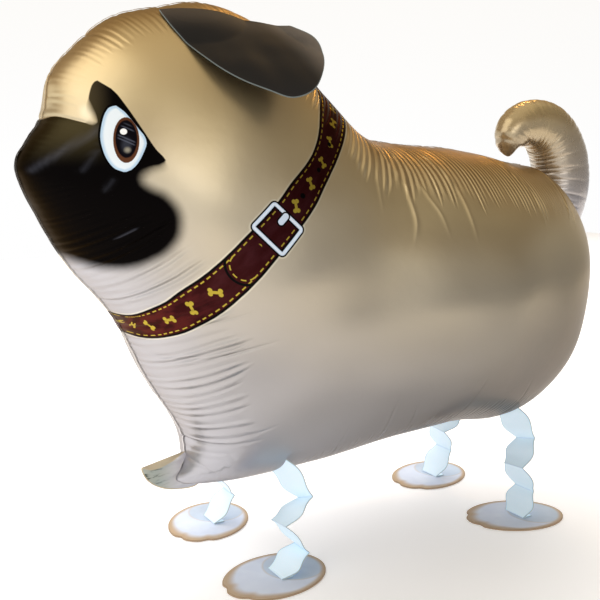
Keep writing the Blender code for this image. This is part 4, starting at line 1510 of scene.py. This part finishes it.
def ear_rise(s, o):
    """Height of the ear over its plane: a shallow bow, and a tip turned up past the crease."""
    (s0, o0), (s1, o1) = EAR_CREASE
    past = ((s - s0) * (o1 - o0) - (o - o0) * (s1 - s0)) / math.hypot(s1 - s0, o1 - o0)
    ease = 0.012
    lifted = np.where(past > ease, past, np.where(past < -ease, 0, (past + ease) ** 2 / (4 * ease)))
    lift = lifted * EAR_LENGTH * math.tan(EAR_TIP_LIFT)
    return EAR_CAMBER * np.sin(math.pi * np.clip(o, 0, 1)) + lift


def ear_piece(side, material):
    """A thin flap, laid on the head along its root, with its tip turned up past a crease."""
    steps, rows = 130, 44
    root = smooth_path(EAR_ROOT_EDGE, steps)
    free = smooth_path((EAR_ROOT_EDGE[0],) + EAR_FREE_EDGE + (EAR_ROOT_EDGE[-1],), steps)
    origin = np.array([
        (EAR_ROOT[0] - MIDDLE) * BODY_LENGTH,
        side * EAR_ROOT[1] * BODY_LENGTH,
        BELLY_HEIGHT + EAR_ROOT[2] * BODY_LENGTH,
    ])
    along = np.array([math.cos(EAR_TOE_IN), side * math.sin(EAR_TOE_IN), 0])
    level = np.array([-math.sin(EAR_TOE_IN), side * math.cos(EAR_TOE_IN), 0])
    down = np.array([0, 0, -1.0])
    outward = level * math.cos(EAR_SLOPE) + down * math.sin(EAR_SLOPE)
    top = level * math.sin(EAR_SLOPE) - down * math.cos(EAR_SLOPE)
    share = np.linspace(0, 1, rows + 1)
    flat = root[1:-1, None] + (free - root)[1:-1, None] * share[None, :, None]
    s, o = flat[..., 0], flat[..., 1]
    rise = ear_rise(s, o)
    rng = np.random.default_rng(SEED + 3)
    wave = np.zeros_like(s)
    for _ in range(EAR_WAVES):
        angle, length = rng.uniform(0, math.pi), rng.uniform(0.16, 0.5)
        phase = rng.uniform(0, 6.28)
        wave += length * np.sin(2 * math.pi * (s * math.cos(angle) + o * math.sin(angle)) / length + phase)
    rise = rise + EAR_WAVE_HEIGHT * wave * smoothstep(o, 0.05, 0.5)
    middle = origin + (along * s[..., None] + outward * o[..., None]) * EAR_LENGTH + top * rise[..., None]
    shape = middle.shape
    gap = GLUE_GAP + EAR_THICKNESS / 2 + EAR_STAND_OFF
    middle = lay_on_body(middle.reshape(-1, 3), gap).reshape(shape)
    layers = [middle + top * half for half in (EAR_THICKNESS / 2, -EAR_THICKNESS / 2)]
    count = shape[0] * shape[1]
    above = np.arange(count).reshape(shape[:2])
    below = above + count
    rings = np.concatenate([above, below[:, ::-1]], axis=1)
    points = np.concatenate([layer.reshape(-1, 3) for layer in layers])
    mesh = closed_mesh("ear", points, skin(rings, wrap=True, caps=True))
    edge_gap, _, _ = nearest_on(free, np.stack([s.ravel(), o.ravel()], -1))
    # Places on the flap for its painted highlights and its pale edge.
    highlight_place = np.stack([edge_gap * EAR_LENGTH, (s - 0.35 * o).ravel(), o.ravel()], -1)
    give_vectors(mesh, "flap", np.concatenate([highlight_place, highlight_place]))
    mesh.shade_smooth()
    mesh.set_sharp_from_angle(angle=math.radians(50))
    return add_piece(f"ear_flap_{SIDES[side]}", mesh, material)


def underside(along, out):
    """Height share at which the belly is out wide, above the given place along the body."""
    heights = np.linspace(-0.02, 0.25, 600)
    square, _ = film.spread(np.stack([np.full_like(heights, along), heights], -1))
    widths = np.sqrt(np.maximum(square, 0))
    reached = int(np.argmax(widths >= out))
    if widths[reached] < out:
        reached = int(np.argmax(widths))
    return heights[reached]


def leg_tree(material):
    """A folded card strip through given folds, whose panels have their sides bowed outwards."""
    tree = Tree("folded_card_leg", {
        "Panels": 5.0, "Panel Width": LEG_WIDTH, "Fold Width": LEG_FOLD_WIDTH, "Card Thickness": LEG_CARD})
    folds = tree.given("Geometry")
    grid = tree.node("GeometryNodeMeshGrid", {}, {
        "Size X": 1.0, "Size Y": 1.0, "Vertices X": 9, "Vertices Y": 151}, "Mesh")
    place = tree.node("GeometryNodeInputPosition", {}, {})
    across, up, _ = tree.parts(place)
    run = ((up + 0.5) * tree.given("Panels")).low(tree.given("Panels") - 0.00001)
    below = run.steps()
    part = run - below
    lean = tree.node("GeometryNodeInputNamedAttribute", {"data_type": "FLOAT"}, {"Name": "lean"})
    bowed = tree.node("GeometryNodeInputNamedAttribute", {"data_type": "FLOAT"}, {"Name": "bow"})

    def at_fold(value, kind, index):
        """A value of the folds, read at a fold's number."""
        return tree.node("GeometryNodeSampleIndex", {"data_type": kind, "domain": "POINT"}, {
            "Geometry": folds, "Value": value, "Index": index})

    starts = tree.parts(at_fold(place, "FLOAT_VECTOR", below))
    ends = tree.parts(at_fold(place, "FLOAT_VECTOR", below + 1))
    swell = (part * (2 * math.pi)).sine() * LEG_SWELL * at_fold(bowed, "FLOAT", below)
    x, y, z = [start + (end - start) * part for start, end in zip(starts, ends)]
    x = x + (ends[0] - starts[0]) * swell
    lean_start = at_fold(lean, "FLOAT", below)
    slope = lean_start + (at_fold(lean, "FLOAT", below + 1) - lean_start) * part
    bow = (part * math.pi).sine() ** 1.5 * at_fold(bowed, "FLOAT", below)
    half = tree.given("Fold Width") + (tree.given("Panel Width") - tree.given("Fold Width")) * bow
    out = across * half
    position = tree.vector(x, y + out, z + slope * out)
    stored = tree.node("GeometryNodeStoreNamedAttribute", {"data_type": "FLOAT", "domain": "POINT"}, {
        "Geometry": grid, "Name": "fold", "Value": run.apply("PINGPONG", 0.5) * 2})
    stored = tree.node("GeometryNodeStoreNamedAttribute", {"data_type": "FLOAT", "domain": "POINT"}, {
        "Geometry": stored, "Name": "edge", "Value": (0.5 - abs(across)) * half})
    shaped = tree.node("GeometryNodeSetPosition", {}, {"Geometry": stored, "Position": position})
    solid = tree.node("GeometryNodeExtrudeMesh", {"mode": "FACES"}, {
        "Mesh": shaped, "Offset Scale": tree.given("Card Thickness"), "Individual": False})
    back = tree.node("GeometryNodeFlipFaces", {}, [shaped])
    joined = tree.node("GeometryNodeJoinGeometry", {}, [[solid, back]])
    merged = tree.node("GeometryNodeMergeByDistance", {}, {"Geometry": joined, "Distance": MERGE_GAP})
    return tree.end(merged, material)


def leg_folds(row, side):
    """Folds of a leg from its glue tab up into the belly, with how far each one leans and bows."""
    places = LEG_FOLDS[f"{row}_{SIDES[side]}"]
    back, inward, _ = places[-1]
    station = LEG_STATIONS[row] + back / BODY_LENGTH
    out = LEG_SPREAD - inward / BODY_LENGTH
    half_share = LEG_FOLD_WIDTH / 2 / BODY_LENGTH
    climb = underside(station, out + half_share) - underside(station, out - half_share)
    slope = climb / (2 * half_share)
    foot_top = FOOT_THICKNESS + GLUE_GAP + LEG_CARD / 2
    foot_x, foot_y = foot_centre(row, side)
    points = [(foot_x + LEG_TAB_LENGTH, foot_y, foot_top)]
    points += [(foot_x + back, foot_y - side * inward, max(up, foot_top)) for back, inward, up in places]
    before, last = np.array(points[-2]), np.array(points[-1])
    points[-1] = tuple(last + (last - before) * LEG_OVERRUN)
    mesh = bpy.data.meshes.new("folds")
    mesh.from_pydata(points, [], [])
    give_floats(mesh, "lean", [0.0] + [side * slope * lean for lean in FOLD_LEAN])
    give_floats(mesh, "bow", [0.0] + [1.0] * len(places))
    return mesh


def leg_piece(tree, row, side, material):
    """One folded strip, a little wider than its solid between the folds and narrower at them."""
    folds = leg_folds(row, side)
    sizes = {
        "Panels": float(len(folds.vertices) - 1),
        "Panel Width": LEG_WIDTH + LEG_BOW,
        "Fold Width": LEG_FOLD_WIDTH - LEG_BOW,
        "Card Thickness": LEG_CARD,
    }
    piece = grown(f"card_leg_{row}_{SIDES[side]}", folds, tree, sizes, material)
    piece.data.shade_smooth()
    piece.data.set_sharp_from_angle(angle=math.radians(30))
    return piece


def foot_piece(row, side, material):
    """A flat oval card with two notches between its toes, and worn edges."""
    yaw = FOOT_YAW[f"{row}_{SIDES[side]}"]
    centre = foot_centre(row, side)
    points_round, rings, hub = 240, 16, 0.04
    angle = np.arange(points_round) / points_round * 2 * math.pi
    off_toe = np.abs(np.remainder(angle, 2 * math.pi) - math.pi)
    notch = np.exp(-((off_toe - TOE_NOTCH_ANGLE) / TOE_NOTCH_SPREAD) ** 2)
    long = np.cos(angle) * (FOOT_LENGTH / 2 - TOE_NOTCH_DEPTH * notch)
    wide = np.sin(angle) * (FOOT_WIDTH / 2)
    outline = np.stack([long, wide], -1)
    turn = np.array([[math.cos(yaw), math.sin(yaw)], [-math.sin(yaw), math.cos(yaw)]])
    bevel = 0.0003
    points, prints, rows = [], [], []
    faces = ((FOOT_THICKNESS, np.linspace(hub, 1, rings), bevel), (0.0, (1.0, hub), 0.0))
    for z, shares, inset in faces:
        for share in shares:
            shrink = share * (1 - inset / (FOOT_WIDTH / 2))
            flat = outline * shrink
            rows.append(np.arange(points_round) + len(points) * points_round)
            points.append(np.column_stack([flat @ turn + centre, np.full(points_round, z)]))
            rim = np.linalg.norm(outline * (1 - share), axis=1)
            prints.append(np.stack([rim, flat[:, 0], flat[:, 1]], -1))
        if z > 0:
            rows.append(np.arange(points_round) + len(points) * points_round)
            points.append(np.column_stack([outline @ turn + centre, np.full(points_round, z - bevel)]))
            prints.append(np.zeros((points_round, 3)))
    points = np.concatenate(points)
    mesh = closed_mesh("foot", points, skin(rows, wrap=True, caps=True))
    # Places for the printed rim and for the painted shadow of the leg.
    give_vectors(mesh, "print", np.concatenate(prints))
    mesh.shade_smooth()
    mesh.set_sharp_from_angle(angle=math.radians(35))
    return add_piece(f"card_foot_{row}_{SIDES[side]}", mesh, material)


def filling_neck(material):
    """The flat corner of film below the chest, curled to a point."""
    outline = to_metres(smooth_loop(NECK_OUTLINE, 150))
    low, high = outline.min(0), outline.max(0)
    columns, rows = [np.arange(start, stop, NECK_SPACING) for start, stop in zip(low, high)]
    grid = np.stack(np.meshgrid(columns, rows), -1).reshape(-1, 2)
    flat = np.concatenate([outline, grid[depth_inside(outline, grid) > LOOP_GAP]])
    triangles = triangulated(flat, len(outline))
    reach = (outline[:, 0].max() - flat[:, 0]) / (outline[:, 0].max() - low[0])
    curl = 0.006 * smoothstep(reach, 0.45, 1.0) ** 1.3
    fold = 0.0012 * np.sin((flat[:, 1] - low[1]) * 480 + reach * 5) * (1 - reach)
    out = -curl + fold * 0.6
    count = len(flat)
    halves = (NECK_THICKNESS / 2, -NECK_THICKNESS / 2)
    points = np.concatenate([np.stack([flat[:, 0], out + half, flat[:, 1]], -1) for half in halves])
    faces = triangles.tolist() + (triangles[:, ::-1] + count).tolist()
    for i in range(len(outline)):
        j = (i + 1) % len(outline)
        faces.append((i, j, j + count, i + count))
    mesh = closed_mesh("neck", points, faces)
    film_place = np.stack([depth_inside(outline, flat), reach, flat[:, 1]], -1)
    give_vectors(mesh, "fin", np.concatenate([film_place, film_place]))
    mesh.shade_smooth()
    mesh.set_sharp_from_angle(angle=math.radians(50))
    return add_piece("filling_neck", mesh, material)


def neck_film():
    """Bare film with painted shade towards its curled point, darker and greener there with dark streaks, and
    a gold edge.
    """
    surface = Surface("neck_film")
    rim, reach, _ = surface.parts(surface.attribute("fin", "Vector"))
    streak = surface.noise(surface.vector(surface.x, surface.z * 5.0), 90.0, 3.0)
    # Painted shade: the film turns darker and greener towards the curled point, with dark streaks there.
    colour = surface.mix(reach.over(0.30, 0.80), (0.66, 0.65, 0.70), (0.46, 0.49, 0.44))
    colour = surface.mix(streak.over(0.50, 0.66) * reach.over(0.45, 0.95), colour, (0.045, 0.06, 0.045))
    colour = surface.mix(rim.over(0.0016, 0.0006), colour, (0.62, 0.52, 0.36))
    normal = surface.bump(streak, 0.3, 0.0006)
    return surface.finish(base_color=colour, metallic=0.6, roughness=0.26 + streak * 0.1, normal=normal)


def weld_film():
    """Pale margin of bare film, dark where the mask and the collar run over it."""
    surface = Surface("weld_film")
    x, z = surface.x, surface.z
    colour = surface.ramp(
        z.over(0.10, 0.50),
        (0.0, (0.70, 0.68, 0.68)),
        (0.5, (0.66, 0.58, 0.44)),
        (1.0, (0.60, 0.46, 0.26)),
    )
    muzzle = z.over(0.303, 0.306) * z.over(0.4205, 0.4175) * x.over(-0.20, -0.21)
    front = z.over(0.2305, 0.2315) * z.over(0.2515, 0.2505) * x.over(-0.20, -0.21)
    nape = x.over(-0.088, -0.087) * x.over(-0.050, -0.051) * z.over(0.40, 0.41)
    colour = surface.mix(muzzle, colour, (0.014, 0.010, 0.009))
    colour = surface.mix(front.high(nape), colour, COLLAR_BROWN)
    rough = 0.24 + surface.noise(surface.place, 200.0, 2.0) * 0.12
    return surface.finish(base_color=colour, metallic=0.6, roughness=rough)


# Stage

def camera():
    """The photograph's viewpoint, worked out from the feet and the outline."""
    data = bpy.data.cameras.new("camera")
    data.sensor_width = CAMERA_SENSOR
    data.lens = CAMERA_LENS
    data.clip_start = 0.05
    data.clip_end = 100
    placed = bpy.data.objects.new("camera", data)
    placed.location = CAMERA_PLACE
    placed.rotation_euler = Vector(CAMERA_AIM).to_track_quat("-Z", "Y").to_euler()
    bpy.context.scene.collection.objects.link(placed)
    bpy.context.scene.camera = placed


def floor():
    """A plain white floor, a little bright of itself, as a lit sweep is."""
    left, right, front, back, level = -2.2, 3.6, -1.2, 3.0, -0.0004
    corners = [(left, front, level), (right, front, level), (right, back, level), (left, back, level)]
    mesh = bpy.data.meshes.new("floor")
    mesh.from_pydata(corners, [], [(0, 1, 2, 3)])
    surface = Surface("white_floor")
    cloud = surface.noise(surface.place, 3.0, 3.0)
    colour = surface.mix(cloud, (0.88, 0.88, 0.90), (0.90, 0.90, 0.91))
    placed = add_piece("floor", mesh, surface.finish(
        base_color=colour, roughness=0.7, emission_color=(1.0, 1.0, 1.0), emission_strength=0.28))


def light(name, place, target, size, power, colour=(1.0, 1.0, 1.0), reflected=True):
    data = bpy.data.lights.new(name, "AREA")
    data.shape = "RECTANGLE"
    data.size, data.size_y = size
    data.energy = power
    data.color = colour
    placed = bpy.data.objects.new(name, data)
    placed.location = place
    aim = Vector(target) - Vector(place)
    placed.rotation_euler = aim.to_track_quat("-Z", "Y").to_euler()
    placed.visible_glossy = reflected
    bpy.context.scene.collection.objects.link(placed)


def surroundings():
    """A pale room: white in front of the dog and behind it, dim at its side, and brown overhead."""
    world = bpy.data.worlds.new("room")
    world.use_nodes = True
    room = Nodes(world.node_tree)
    x, y, z = room.parts(room.node("ShaderNodeTexCoord", {}, {}, "Generated"))
    upwards = room.ramp(
        z,
        (0.0, (1.0, 1.0, 1.0)),
        (0.22, (0.98, 0.96, 0.93)),
        (0.42, (0.52, 0.43, 0.33)),
        (0.62, (0.50, 0.44, 0.34)),
        (1.0, (0.66, 0.60, 0.50)),
    )
    towards_dim = x * 0.8 - y * 0.6
    dim = room.ramp(
        towards_dim,
        (0.0, (1.0, 1.0, 1.0)),
        (0.42, (0.98, 0.98, 0.98)),
        (0.66, (0.50, 0.50, 0.52)),
        (1.0, (0.34, 0.34, 0.36)),
    )
    settings = {"data_type": "RGBA", "blend_type": "MULTIPLY"}
    colour = room.node("ShaderNodeMix", settings, {0: 1.0, 6: upwards, 7: dim}, 2)
    behind = y.over(0.0, 0.5) * z.over(0.20, 0.36) * z.over(1.0, 0.8)
    colour = room.mix(behind, colour, (0.27, 0.18, 0.095))
    glow = room.node("ShaderNodeBackground", {}, {"Color": colour, "Strength": 1.0})
    room.node("ShaderNodeOutputWorld", {}, {"Surface": glow}, None)
    bpy.context.scene.world = world


def main():
    camera()
    bpy.context.scene.view_settings.view_transform = "Standard"
    floor()
    surroundings()
    light("key", (-2.2, 0.2, 2.0), (-0.4, 0.0, 0.1), (2.4, 2.4), 21, (1.0, 0.99, 0.97))
    light("window", (-0.55, -2.4, 1.05), (-0.22, -0.1, 0.38), (1.4, 0.9), 5.5)
    light("sweep", (0.3, 2.0, 2.5), (0.1, 0.9, 0.0), (5.0, 3.0), 135, reflected=False)
    light("lamp", (1.08, 1.06, 1.95), (0.05, 0.0, 0.40), (0.50, 0.12), 4, (1.0, 0.62, 0.25))

    mesh, seam, outward = envelope()
    body = add_piece("foil_envelope", mesh, printed_foil())
    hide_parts("foil_body")
    margin = weld_edge(seam, outward, weld_film())
    neck = filling_neck(neck_film())
    tail = tail_piece(tail_film())
    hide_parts("tail")
    printed = [(piece, "printed_foil") for piece in (body, margin, neck)]
    for piece, slot in printed + [(tail, "tail_foil")]:
        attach(piece, "root")

    dark, card, foot = ear_film(), leg_card(), foot_card()
    tree = leg_tree(card)
    for side, word in SIDES.items():
        ear = ear_piece(side, dark)
        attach(ear, "root")
        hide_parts(f"ear_{word}")
        for row in ("front", "rear"):
            leg = leg_piece(tree, row, side, card)
            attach(leg, "root")
            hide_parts(f"leg_{row}_{word}")
            pad = foot_piece(row, side, foot)
            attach(pad, "root")
            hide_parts(f"foot_{row}_{word}")


main()
